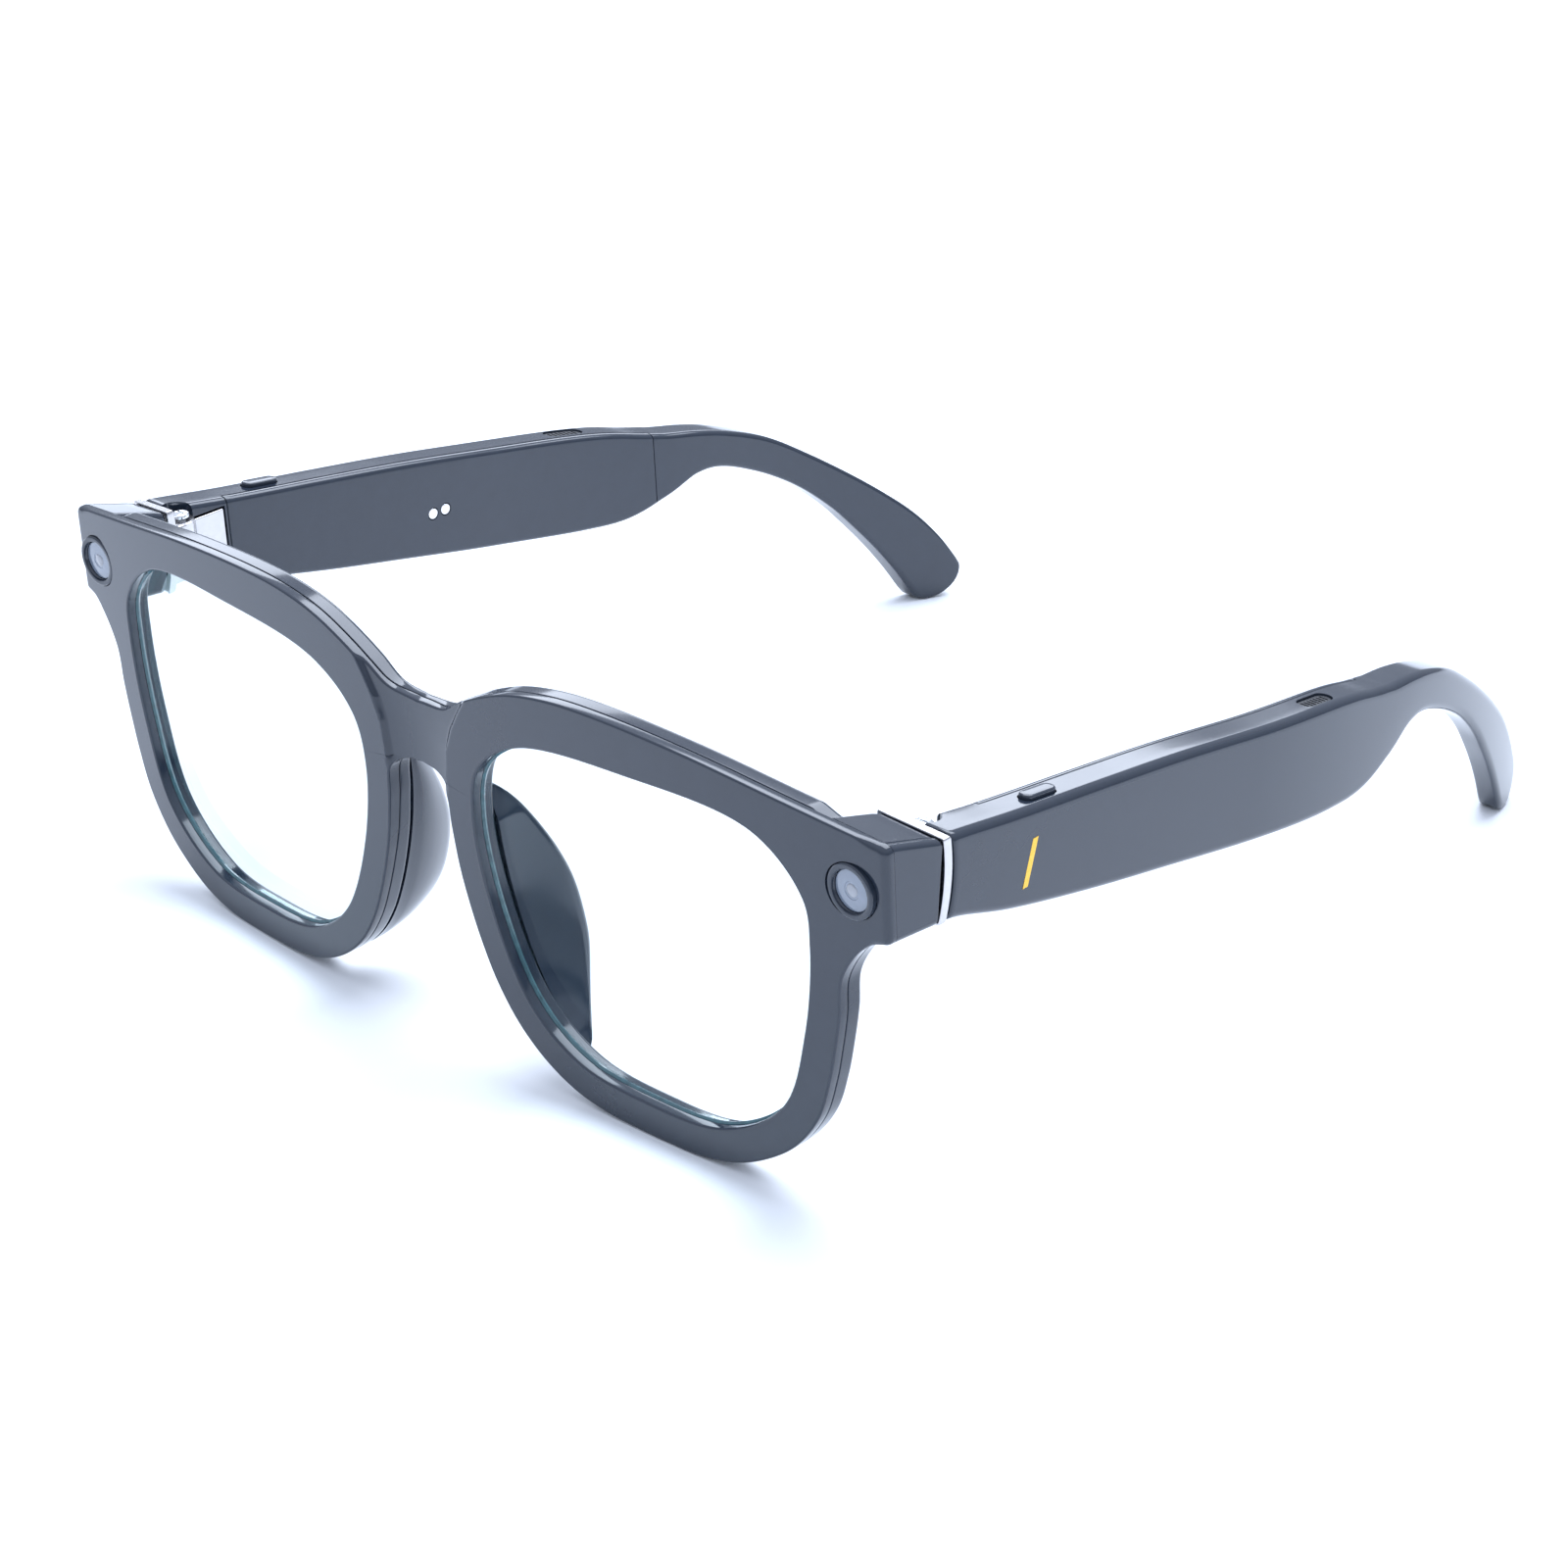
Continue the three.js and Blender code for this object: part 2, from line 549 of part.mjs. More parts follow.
const addTemples = () => {
  const frontGap = new THREE.Shape([
    new THREE.Vector2(-templeShaft, -browTop), ...bowedEdge(plateBack + fit),
    new THREE.Vector2(-templeShaft, 2 * browTop),
  ]);
  const whole = cut(
    across(ribbon(templeStations(0), templeSteps, tipRound), 0, templeThickness),
    across(frontGap, -over, templeThickness + 2 * over).translate(0, sweep(halfWidth), 0),
  );
  const throughWall = -2 * edgeWall;
  const around = (length, width) => pill(length + 2 * buttonFit, width + 2 * buttonFit);
  const buttonHole = onTop(around(buttonLength, buttonWidth), buttonY, over, throughWall);
  const grilleSeat = onTop(around(grilleLength, grilleWidth), grilleY, over, -grilleDepth);
  const soundHole = onTop(pill(grilleLength - 1.2, grilleWidth - 1), grilleY, over, throughWall);
  const coverSeat = block(
    [coverDepth - fit, coverFrom - fit, -browTop], [templeThickness + over, coverTo + fit, 2 * browTop],
  );
  const pocket = templeBand(edgeWall, pocketFrom, pocketTo, outerWall, templeThickness + over);
  const inlaySeat = across(inlayShape(), -over, over + inlayDepth);
  const hingeWell = upright(hingeRadius + fit, 0, 2 * browTop, 24);
  const leafFrom = hingeY + hingeRadius + fit;
  const leafBox = (grow) => block(
    [leafInner - grow, leafFrom - grow, hingeTop - hingeHeight + leafStep - grow],
    [leafInner + leafThickness + grow, leafFrom + leafLength + grow, hingeTop - leafStep + grow],
  );
  const linkSlot = block(
    [leafInner - over, hingeY, leafLow - fit],
    [leafInner + leafThickness + fit, leafFrom + over, leafHigh + fit],
  );
  const shell = cut(
    curl(cut(whole, coverSeat, pocket, buttonHole, grilleSeat, soundHole, inlaySeat)),
    hingeWell,
    leafBox(fit),
    linkSlot,
  );
  putPair('temple_shell', shell, blackGloss);

  const leaf = cut(
    join(
      leafBox(0),
      block([leafInner, hingeY, leafLow], [leafInner + leafThickness, leafFrom + over, leafHigh]),
      upright(hingeRadius, leafLow, leafHigh),
    ),
    upright(screwRadius + shaftFit, leafLow - over, leafHigh + over),
  );
  putPair('hinge_leaf', leaf, silver);

  const cover = common(
    cut(whole, block([-over, -templeShaft, -browTop], [coverDepth, 3 * templeShaft, 2 * browTop])),
    block([0, coverFrom, -browTop], [templeThickness + over, coverTo, 2 * browTop]),
  );
  const contactHoles = [-1, 1].map((side) => sideBar(
    contactRadius + buttonFit, 0, templeThickness + over, contactY + side * contactPitch / 2, contactZ,
  ));
  put('temple_cover_left', curl(cover), blackGloss);
  put('temple_cover_right', mirrorX(curl(cut(cover, ...contactHoles))), blackGloss);

  const stemEnd = -edgeWall - fit;
  const button = onTop(pill(buttonLength, buttonWidth), buttonY, buttonProud, stemEnd);
  const switchTop = stemEnd - buttonTravel - fit;
  const switchOutline = pill(buttonLength - 1.2, buttonWidth - 0.4);
  const buttonSwitch = onTop(switchOutline, buttonY, switchTop, switchTop - switchHeight);
  const grille = onTop(pill(grilleLength, grilleWidth), grilleY, -grilleRecess, buttonFit - grilleDepth);
  putPair('power_button', curl(button), blackGloss);
  putPair('button_switch', curl(buttonSwitch), silver);
  putPair('speaker_grille', curl(grille), blackSatin);

  const speakerFrom = speakerTo - speakerLength;
  const speaker = inPocket(speakerFrom, speakerLength, speakerHeight, partDepth, speakerThickness);
  const battery = inPocket(batteryFrom, batteryLength, batteryHeight, partDepth, batteryThickness);
  const board = inPocket(boardFrom, boardLength, boardHeight, partDepth, boardThickness);
  putPair('speaker', curl(speaker), blackSatin);
  putPair('battery', curl(battery), foil);
  putPair('circuit_board', curl(board), circuit);
  const cableTo = contactY - contactPitch / 2 - contactRadius - 2 * fit;
  const cableDepth = partDepth + batteryThickness + fit;
  const cableFrom = pocketFrom + over;
  const cable = inPocket(cableFrom, cableTo - cableFrom, flexWidth, cableDepth, flexThickness);
  putPair('temple_flex_cable', curl(cable), polyimide);
  putPair('emblem_inlay', curl(across(inlayShape(), 0, inlayDepth - 0.1)), gold);

  const onBoard = partDepth + boardThickness + fit;
  [['front', -1], ['rear', 1]].forEach(([place, side]) => {
    const y = contactY + side * contactPitch / 2;
    const contact = sideBar(contactRadius, onBoard, templeThickness, y, contactZ);
    put(`charge_contact_${place}`, mirrorX(curl(contact)), gold);
  });
  [['upper', 1], ['lower', -1]].forEach(([place, side]) => {
    const z = contactZ + side * (contactRadius + magnetRadius + fit);
    const magnet = sideBar(magnetRadius, onBoard, onBoard + magnetThickness, contactY, z);
    put(`charge_magnet_${place}`, mirrorX(curl(magnet)), silver);
  });
};

addFront();
addEyes();
addNosePads();
addHinges();
addTemples();

// ---------------------------------------------------------------- standing on a table
// The glasses rest on both rims and both temple tips, which tips the front forward a little.
const lowest = (mesh, lean) => {
  const position = mesh.geometry.getAttribute('position');
  let least = Infinity;
  for (let i = 0; i < position.count; i += 1) {
    least = Math.min(least, position.getZ(i) * Math.cos(lean) + position.getY(i) * Math.sin(lean));
  }
  return least;
};
const rim = glasses.getObjectByName('front_shell');
const temple = glasses.getObjectByName('temple_shell_left');
let lean = 0;
for (let i = 0, step = 0.1; i < 40; i += 1, step /= 2) {
  lean += lowest(temple, lean) < lowest(rim, lean) ? step : -step;
}
glasses.rotation.x = lean;
glasses.updateMatrixWorld(true);
const extent = new THREE.Box3().setFromObject(glasses, true);
glasses.position.set(0, -(extent.min.y + extent.max.y) / 2, -extent.min.z);

export default glasses;
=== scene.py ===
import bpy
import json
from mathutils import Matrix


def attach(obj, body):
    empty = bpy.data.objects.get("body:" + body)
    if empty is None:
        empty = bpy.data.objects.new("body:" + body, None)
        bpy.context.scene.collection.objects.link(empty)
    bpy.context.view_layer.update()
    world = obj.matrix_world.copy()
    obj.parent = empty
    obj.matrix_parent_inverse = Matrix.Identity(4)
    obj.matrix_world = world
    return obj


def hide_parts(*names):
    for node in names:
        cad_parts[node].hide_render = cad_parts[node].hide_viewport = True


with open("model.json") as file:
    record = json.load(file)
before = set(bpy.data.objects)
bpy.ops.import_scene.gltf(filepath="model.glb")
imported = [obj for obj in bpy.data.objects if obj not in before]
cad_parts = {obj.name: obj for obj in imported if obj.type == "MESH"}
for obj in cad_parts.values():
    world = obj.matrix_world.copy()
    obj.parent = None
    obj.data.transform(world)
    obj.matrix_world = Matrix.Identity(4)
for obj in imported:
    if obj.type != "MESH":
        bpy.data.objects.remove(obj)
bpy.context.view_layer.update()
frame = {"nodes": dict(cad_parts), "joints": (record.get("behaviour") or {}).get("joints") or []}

# Smart glasses: the looks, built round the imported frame. Shapes are in millimetres on the glasses' own
# upright axes, with x to the wearer's left, y backwards from the face of the rims and z up, until placed()
# puts them in the frame.
import json
import math

import bmesh
import bpy
import numpy as np
from mathutils import Matrix, Vector

MM = 0.001

# ---------------------------------------------------------------- sizes, in millimetres
LENS_WIDTH, LENS_HEIGHT = 52.0, 42.7
HALF_BRIDGE = 10.0
RIM_WIDTH = 4.4
BROW_TOP = 53.3
BRIDGE_TOP, BRIDGE_HEIGHT = 45.3, 8.2
HALF_WIDTH = 73.0
ENDPIECE_TOP, ENDPIECE_BOTTOM, ENDPIECE_DEPTH, ENDPIECE_SLOPE = 49.2, 37.2, 8.7, 0.26
ENDPIECE_CORNER, ENDPIECE_DROP, BROW_CLIMB = 0.9, 0.06, 0.14
FRONT_DEPTH, SEAM, SEAM_BACK = 1.3, 0.3, 1.46
REAR_FACE, RIM_BACK = 1.6, 3.8
WING = 1.2
REAR_REACH = HALF_WIDTH - WING - 0.08
REAR_BLOCK, REAR_WIDEN, REAR_CUT = 7.6, 0.5, 0.75
BLOCK_WIDTH = 9.0
FACE_CURVE = 0.00091
PLATE_FACE, PLATE_BACK, PLATE_BULGE, PLATE_LEAN, PLATE_EDGE = 9.0, 10.2, 0.6, 1.2, 0.14
CAMERA_X, CAMERA_Z, BEZEL_RADIUS, WINDOW_RADIUS = 68.2, 42.9, 3.4, 2.55
SCOOP_DEPTH, SCOOP_WALL, CREASE_ROUND = 1.15, 0.5, 0.75
PAD_BASE, PAD_THICKNESS = 4.1, 4.2
PAD_DEPTHS = [  # (height, how far the pad stands out behind the rim)
    (3.3, 0.0), (4.2, 2.2), (6, 4.4), (9, 6.9), (13, 8.9), (17, 9.4), (21, 9.1), (25, 7.9), (29, 6.0),
    (32.4, 3.9), (34.8, 1.8), (36.0, 0.3),
]
TEMPLE_FRONT, TEMPLE_SHAFT, TEMPLE_SPLAY, TIP_CURL = 15.95, 94.0, 0.0257, 0.00244
TEMPLE_THICKNESS, TIP_THICKNESS, TEMPLE_HEIGHT = 5.8, 4.0, 10.6
TEMPLE_CENTRE = 41.37
ARM_START, BOW_AT = 15.8, 15.5
EDGE_WALL, OUTER_WALL = 1.3, 1.2
COVER_FROM, COVER_TO, COVER_DEPTH = 24.55, 97.73, 4.6
COVER_GAP, COVER_END_GAP = 0.14, 0.05
TOP_DEPTH = 2.6
BUTTON_Y, BUTTON_LENGTH, BUTTON_WIDTH, BUTTON_PROUD, BUTTON_ROUND = 32.15, 5.4, 2.0, 0.6, 0.28
GRILLE_Y, GRILLE_LENGTH, GRILLE_WIDTH = 84.7, 6.2, 2.4
CONTACT_Y, CONTACT_PITCH, CONTACT_RADIUS = 59.45, 2.2, 0.8
KNUCKLE_RADIUS, SCREW_RADIUS, SCREW_HEAD = 1.9, 0.8, 1.3
HINGE_HEIGHT, HINGE_GAP, LEAF_CLEARANCE = 8.0, 0.15, 0.3
KNUCKLE = HINGE_HEIGHT / 3

# ---------------------------------------------------------------- the glasses' own upright axes
fold = next(j for j in frame["joints"] if j["name"] == "temple_left_fold")
LEAN = math.atan2(-fold["axis"][1], fold["axis"][2])
UPRIGHT = Matrix.Rotation(LEAN, 4, "X")


def own_box(*nodes):
    """Lowest and highest corners of CAD nodes along the glasses' own axes, in millimetres, before placing."""
    turn = UPRIGHT.inverted()
    points = np.array([turn @ v.co for n in nodes for v in frame["nodes"][n].data.vertices]) / MM
    return points.min(0), points.max(0)


shell_low = own_box("front_shell")[0]
lens_low, lens_high = own_box("lens_left")
START = np.array([0.0, shell_low[1], (lens_low[2] + lens_high[2]) / 2 - (RIM_WIDTH + LENS_HEIGHT / 2)])


def placed(points):
    """Millimetres on the glasses' own axes to metres on the table."""
    points = (np.asarray(points, float) + START) * MM
    c, s = math.cos(LEAN), math.sin(LEAN)
    return np.stack([points[:, 0], points[:, 1] * c - points[:, 2] * s, points[:, 1] * s + points[:, 2] * c], 1)


def sweep(x):
    """How far the curved front lies back at x."""
    return FACE_CURVE * np.asarray(x, float) ** 2


# ---------------------------------------------------------------- materials
def colour(code):
    """An sRGB hex value as linear RGBA."""
    parts = [int(code[i:i + 2], 16) / 255 for i in (1, 3, 5)]
    linear = [c / 12.92 if c <= 0.04045 else ((c + 0.055) / 1.055) ** 2.4 for c in parts]
    return (*linear, 1.0)


def fill(node, values):
    """Inputs by name, or by number where names repeat: plain values, or sockets of other nodes."""
    for name, value in values.items():
        socket = node.inputs[int(name[1:])] if name[1:].isdigit() else node.inputs[name.replace("_", " ")]
        if isinstance(value, bpy.types.NodeSocket):
            node.id_data.links.new(value, socket)
        else:
            socket.default_value = value
    return node


def add(tree, kind, settings=None, **values):
    """One node, with its settings and its inputs."""
    node = tree.nodes.new(kind)
    for name, value in (settings or {}).items():
        setattr(node, name, value)
    return fill(node, values)


def new_material(name):
    """A material, its node tree, its Principled shader, and the place on the piece that patterns start from."""
    material = bpy.data.materials.new(name)
    material.use_nodes = True
    tree = material.node_tree
    return material, tree, tree.nodes["Principled BSDF"], add(tree, "ShaderNodeTexCoord").outputs["Object"]


def marked_finish(name, tones, rough, marks_mm, detail=2.0, relief_mm=0.0, relief=0.3, **values):
    """A surface with marks of one real size, running between two tones and two roughnesses, raised or flat."""
    material, tree, shader, place = new_material(name)
    marks = add(tree, "ShaderNodeTexNoise", Vector=place, Scale=1 / (marks_mm * MM), Detail=detail).outputs[0]
    tone = add(tree, "ShaderNodeMix", {"data_type": "RGBA"}, Factor=marks,
               _6=colour(tones[0]), _7=colour(tones[1])).outputs[2]
    spread = add(tree, "ShaderNodeMapRange", Value=marks, To_Min=rough[0], To_Max=rough[1]).outputs[0]
    if relief_mm:
        values["Normal"] = add(tree, "ShaderNodeBump", Height=marks, Strength=relief,
                               Distance=relief_mm * MM).outputs[0]
    fill(shader, dict(Base_Color=tone, Roughness=spread, **values))
    return material


def polished_nylon():
    """Black nylon, injection moulded, tumbled for days and lacquered.
    Sharp reflections over a slightly blue black, with a faint waviness left by the mould and the tumbling."""
    material, tree, shader, place = new_material("polished_black_nylon")
    pigment = add(tree, "ShaderNodeTexNoise", Vector=place, Scale=1 / (2.5 * MM), Detail=3.0).outputs[0]
    tone = add(tree, "ShaderNodeMix", {"data_type": "RGBA"}, Factor=pigment,
               _6=colour("#232b37"), _7=colour("#27303d")).outputs[2]
    wipes = add(tree, "ShaderNodeTexNoise", Vector=place, Scale=1 / (7 * MM), Detail=6.0).outputs[0]
    rough = add(tree, "ShaderNodeMapRange", Value=wipes, To_Min=0.08, To_Max=0.16).outputs[0]
    wave = add(tree, "ShaderNodeTexNoise", Vector=place, Scale=1 / (14 * MM), Detail=1.0).outputs[0]
    normal = add(tree, "ShaderNodeBump", Height=wave, Strength=0.3, Distance=0.02 * MM).outputs[0]
    fill(shader, dict(Base_Color=tone, Roughness=rough, Normal=normal, IOR=1.5, Coat_Weight=0.2,
                      Coat_Roughness=0.04, Coat_IOR=1.5))
    return material


def satin_nylon():
    """Spark-eroded moulded nylon on grilles and modules: a fine grain that scatters the light.
    The real grain is about 0.05 mm; it is drawn at 0.2 mm so that it shows."""
    return marked_finish("satin_moulded_nylon", ("#202227", "#2a2d33"), (0.42, 0.56), 0.2,
                         relief_mm=0.02, relief=0.5, IOR=1.5)


def lens_glass():
    """Cast resin lens with a vacuum-deposited anti-reflection coating.
    Nearly invisible straight on, with a pale blue-green bloom where it mirrors at a slant."""
    material, tree, shader, place = new_material("coated_resin_lens")
    slant = add(tree, "ShaderNodeLayerWeight", Blend=0.12).outputs["Fresnel"]
    film = add(tree, "ShaderNodeTexNoise", Vector=place, Scale=1 / (18 * MM), Detail=1.0).outputs[0]
    tone = add(tree, "ShaderNodeMix", {"data_type": "RGBA"}, Factor=film,
               _6=colour("#c8e6ee"), _7=colour("#e2f2ee")).outputs[2]
    mirror = add(tree, "ShaderNodeBsdfGlossy", Color=tone, Roughness=0.02).outputs[0]
    clear = add(tree, "ShaderNodeBsdfTransparent", Color=colour("#fafdfd")).outputs[0]
    share = add(tree, "ShaderNodeMapRange", Value=slant, To_Min=0.0, To_Max=0.22).outputs[0]
    mixed = add(tree, "ShaderNodeMixShader", Fac=share, _1=clear, _2=mirror).outputs[0]
    tree.nodes.remove(shader)
    fill(tree.nodes["Material Output"], dict(Surface=mixed))
    return material


def lens_edge():
    """The ground and buffed bevel round a lens, where light trapped in it comes out as a dark teal."""
    return marked_finish("ground_lens_edge", ("#1d3640", "#3f6f78"), (0.12, 0.3), 1.2,
                         IOR=1.5, Coat_Weight=0.6, Coat_Roughness=0.05)


def smoked_window():
    """Tinted, hard-coated polycarbonate over the camera and the recording light: a milky slate disc."""
    return marked_finish("smoked_cover_window", ("#6b7686", "#7d8898"), (0.1, 0.18), 1.5,
                         IOR=1.58, Coat_Weight=1.0, Coat_Roughness=0.02)


def camera_optic():
    """The moulded, coated lens behind the window, coloured pale grey as a painted highlight: a near-white glint
    painted at its middle.
    """
    return marked_finish("camera_optic_painted_glint", ("#7d8087", "#a3a7b0"), (0.04, 0.1), 0.9, detail=1.0,
                         IOR=1.6, Coat_Weight=1.0, Coat_Roughness=0.01)


def metal(name, tones, rough, marks_mm, relief_mm):
    """Bare metal with polishing marks of one size."""
    return marked_finish(name, tones, rough, marks_mm, detail=4.0, relief_mm=relief_mm, Metallic=1.0)


def nickel_silver():
    """Stamped nickel silver hinge parts, barrel polished: a bright grey with soft streaks."""
    return metal("polished_nickel_silver", ("#bcbabb", "#d2d0d0"), (0.16, 0.28), 0.8, 0.01)


def plated_steel():
    """Turned steel screws, switches and magnets, nickel plated: small and mirror bright."""
    return metal("nickel_plated_steel", ("#cfd2d6", "#e8eaec"), (0.1, 0.18), 0.5, 0.008)


def gold_plate():
    """Gold-plated brass, lightly brushed: a warm yellow with a soft sheen."""
    return metal("gold_plated_brass", ("#d6a537", "#eec864"), (0.22, 0.34), 0.4, 0.01)


def contact_plate():
    """Rhodium-flashed charging contacts, polished nearly white so that they catch the light."""
    return metal("rhodium_plated_contact", ("#e6e6ea", "#f6f6f8"), (0.12, 0.2), 0.4, 0.006)


def pouch_foil():
    """Heat-sealed aluminium laminate round a battery cell: dull silver with a slight crinkle."""
    return metal("aluminium_laminate", ("#a9adb3", "#c2c6cb"), (0.3, 0.45), 1.5, 0.05)


def solder_mask():
    """Screen-printed epoxy solder mask over copper: green, half gloss, darker over the gaps in the copper."""
    material, tree, shader, place = new_material("green_solder_mask")
    tracks = add(tree, "ShaderNodeTexBrick", Vector=place, Scale=1 / (4 * MM), Color1=colour("#1f5a3a"),
                 Color2=colour("#276b46"), Mortar=colour("#164329")).outputs[0]
    print_grain = add(tree, "ShaderNodeTexNoise", Vector=place, Scale=1 / (0.6 * MM)).outputs[0]
    rough = add(tree, "ShaderNodeMapRange", Value=print_grain, To_Min=0.3, To_Max=0.45).outputs[0]
    fill(shader, dict(Base_Color=tracks, Roughness=rough, IOR=1.55))
    return material


def polyimide_film():
    """Amber polyimide film laminated over copper foil: smooth, with the copper lines showing through."""
    material, tree, shader, place = new_material("polyimide_film")
    lines = add(tree, "ShaderNodeTexWave", {"bands_direction": "Z"}, Vector=place, Scale=1 / (3 * MM),
                Distortion=0.2).outputs["Fac"]
    tone = add(tree, "ShaderNodeMix", {"data_type": "RGBA"}, Factor=lines,
               _6=colour("#a4641f"), _7=colour("#c98a45")).outputs[2]
    rough = add(tree, "ShaderNodeMapRange", Value=lines, To_Min=0.25, To_Max=0.4).outputs[0]
    fill(shader, dict(Base_Color=tone, Roughness=rough, IOR=1.7))
    return material


def table_board():
    """Matt white paper board under the glasses, rolled smooth: pale and even."""
    material, tree, shader, place = new_material("white_paper_board")
    fibres = add(tree, "ShaderNodeTexNoise", Vector=place, Scale=1 / (4 * MM), Detail=3.0).outputs[0]
    tone = add(tree, "ShaderNodeMix", {"data_type": "RGBA"}, Factor=fibres,
               _6=colour("#f6f9fc"), _7=colour("#f9fbfe")).outputs[2]
    fill(shader, dict(Base_Color=tone, Roughness=0.9))
    return material


BLACK = polished_nylon()
SATIN = satin_nylon()
LENS = lens_glass()
LENS_EDGE = lens_edge()
WINDOW = smoked_window()
OPTIC = camera_optic()
SILVER = nickel_silver()
STEEL = plated_steel()
GOLD = gold_plate()
CONTACT = contact_plate()
FOIL = pouch_foil()
CIRCUIT = solder_mask()
FILM = polyimide_film()


# ---------------------------------------------------------------- making meshes
class Build:
    """Points in millimetres on the glasses' own axes, and the faces between them."""

    def __init__(self):
        self.points = []
        self.faces = []
        self.marks = []

    def row(self, points):
        first = len(self.points)
        self.points.extend([tuple(map(float, p)) for p in points])
        return list(range(first, len(self.points)))

    def strip(self, a, b, closed=True, mark=0):
        """Quads between two rows of equal length."""
        for i in range(len(a) if closed else len(a) - 1):
            j = (i + 1) % len(a)
            self.faces.append((a[i], a[j], b[j], b[i]))
            self.marks.append(mark)

    def cap(self, row, flip=False, mark=0):
        self.faces.append(tuple(reversed(row)) if flip else tuple(row))
        self.marks.append(mark)

    def tube(self, rows, ends=True, closed=True, mark=0):
        """A solid through closed rows, capped at both ends."""
        made = [self.row(r) for r in rows]
        for a, b in zip(made, made[1:]):
            self.strip(a, b, closed, mark)
        if ends:
            self.cap(made[0], True, mark)
            self.cap(made[-1], False, mark)
        return made

    def mirrored(self):
        """The same for the wearer's other side."""
        other = Build()
        other.points = [(-x, y, z) for x, y, z in self.points]
        other.faces = [tuple(reversed(f)) for f in self.faces]
        other.marks = list(self.marks)
        return other

    def on_side(self, side):
        """This, made for the wearer's left, on the side that is asked for."""
        return self if side == "left" else self.mirrored()

    def both(self):
        """This half and its mirror image, welded on the middle plane."""
        other = self.mirrored()
        first = len(self.points)
        self.points += other.points
        self.faces += [tuple(first + i for i in f) for f in other.faces]
        self.marks += other.marks
        return self


def sharpen(edit, crease):
    """Smooth shading everywhere but across edges that turn by more than crease degrees."""
    for edge in edit.edges:
        if len(edge.link_faces) == 2:
            edge.smooth = edge.calc_face_angle(0.0) < math.radians(crease)


def finished(build, name, body, materials, weld=0.004, crease=32, replaces=()):
    """A Blender piece from a build: welded, facing outwards, smooth between creases, riding on its body."""
    mesh = bpy.data.meshes.new(name)
    mesh.from_pydata([tuple(p) for p in placed(build.points)], [], build.faces)
    mesh.polygons.foreach_set("material_index", build.marks)
    mesh.polygons.foreach_set("use_smooth", [True] * len(build.faces))
    for material in materials if isinstance(materials, (list, tuple)) else [materials]:
        mesh.materials.append(material)
    edit = bmesh.new()
    edit.from_mesh(mesh)
    bmesh.ops.remove_doubles(edit, verts=edit.verts, dist=weld * MM)
    bmesh.ops.dissolve_degenerate(edit, edges=edit.edges, dist=weld * MM / 4)
    bmesh.ops.recalc_face_normals(edit, faces=edit.faces)
    sharpen(edit, crease)
    edit.to_mesh(mesh)
    edit.free()
    piece = bpy.data.objects.new(name, mesh)
    bpy.context.scene.collection.objects.link(piece)
    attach(piece, body)
    if replaces:
        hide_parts(*replaces)
    return piece


def apply_modifiers(piece):
    """The piece's mesh with its modifiers worked in, and none left on it."""
    bpy.context.view_layer.update()
    shaped = bpy.data.meshes.new_from_object(piece.evaluated_get(bpy.context.evaluated_depsgraph_get()))
    shaped.name = piece.name
    piece.modifiers.clear()
    piece.data = shaped


def carve(piece, *cutters, crease=32):
    """Cuts each build out of the piece."""
    for build in cutters:
        tool_mesh = bpy.data.meshes.new("cutter")
        tool_mesh.from_pydata([tuple(p) for p in placed(build.points)], [], build.faces)
        edit = bmesh.new()
        edit.from_mesh(tool_mesh)
        bmesh.ops.remove_doubles(edit, verts=edit.verts, dist=0.002 * MM)
        bmesh.ops.recalc_face_normals(edit, faces=edit.faces)
        edit.to_mesh(tool_mesh)
        edit.free()
        tool = bpy.data.objects.new("cutter", tool_mesh)
        bpy.context.scene.collection.objects.link(tool)
        step = piece.modifiers.new("cut", "BOOLEAN")
        step.operation = "DIFFERENCE"
        step.solver = "EXACT"
        step.object = tool
        apply_modifiers(piece)
        bpy.data.objects.remove(tool)
    edit = bmesh.new()
    edit.from_mesh(piece.data)
    sharpen(edit, crease)
    for face in edit.faces:
        face.smooth = True
    edit.to_mesh(piece.data)
    edit.free()


def even_shading(piece):
    """Lets the large faces set the shading, so that flats stay flat between their rounded edges."""
    step = piece.modifiers.new("shading", "WEIGHTED_NORMAL")
    step.keep_sharp = True
    step.weight = 80


# ---------------------------------------------------------------- curves
def catmull(points, count, closed=False):
    """A centripetal Catmull-Rom curve through points, at even steps along it."""
    points = np.array(points, float)
    if closed:
        points = np.vstack([points[-1], points, points[0], points[1]])
    else:
        points = np.vstack([2 * points[0] - points[1], points, 2 * points[-1] - points[-2]])
    dense = []
    for p0, p1, p2, p3 in zip(points, points[1:], points[2:], points[3:]):
        knots = np.cumsum([0] + [max(np.linalg.norm(b - a) ** 0.5, 1e-9)
                                 for a, b in ((p0, p1), (p1, p2), (p2, p3))])
        for t in np.linspace(knots[1], knots[2], 60, endpoint=False):
            def blend(a, b, ta, tb):
                return a * (tb - t) / (tb - ta) + b * (t - ta) / (tb - ta)
            a1, a2, a3 = (blend(p0, p1, knots[0], knots[1]), blend(p1, p2, knots[1], knots[2]),
                          blend(p2, p3, knots[2], knots[3]))
            b1, b2 = blend(a1, a2, knots[0], knots[2]), blend(a2, a3, knots[1], knots[3])
            dense.append(blend(b1, b2, knots[1], knots[2]))
    dense.append(points[-2] if not closed else dense[0])
    return resample(np.array(dense), count, closed)


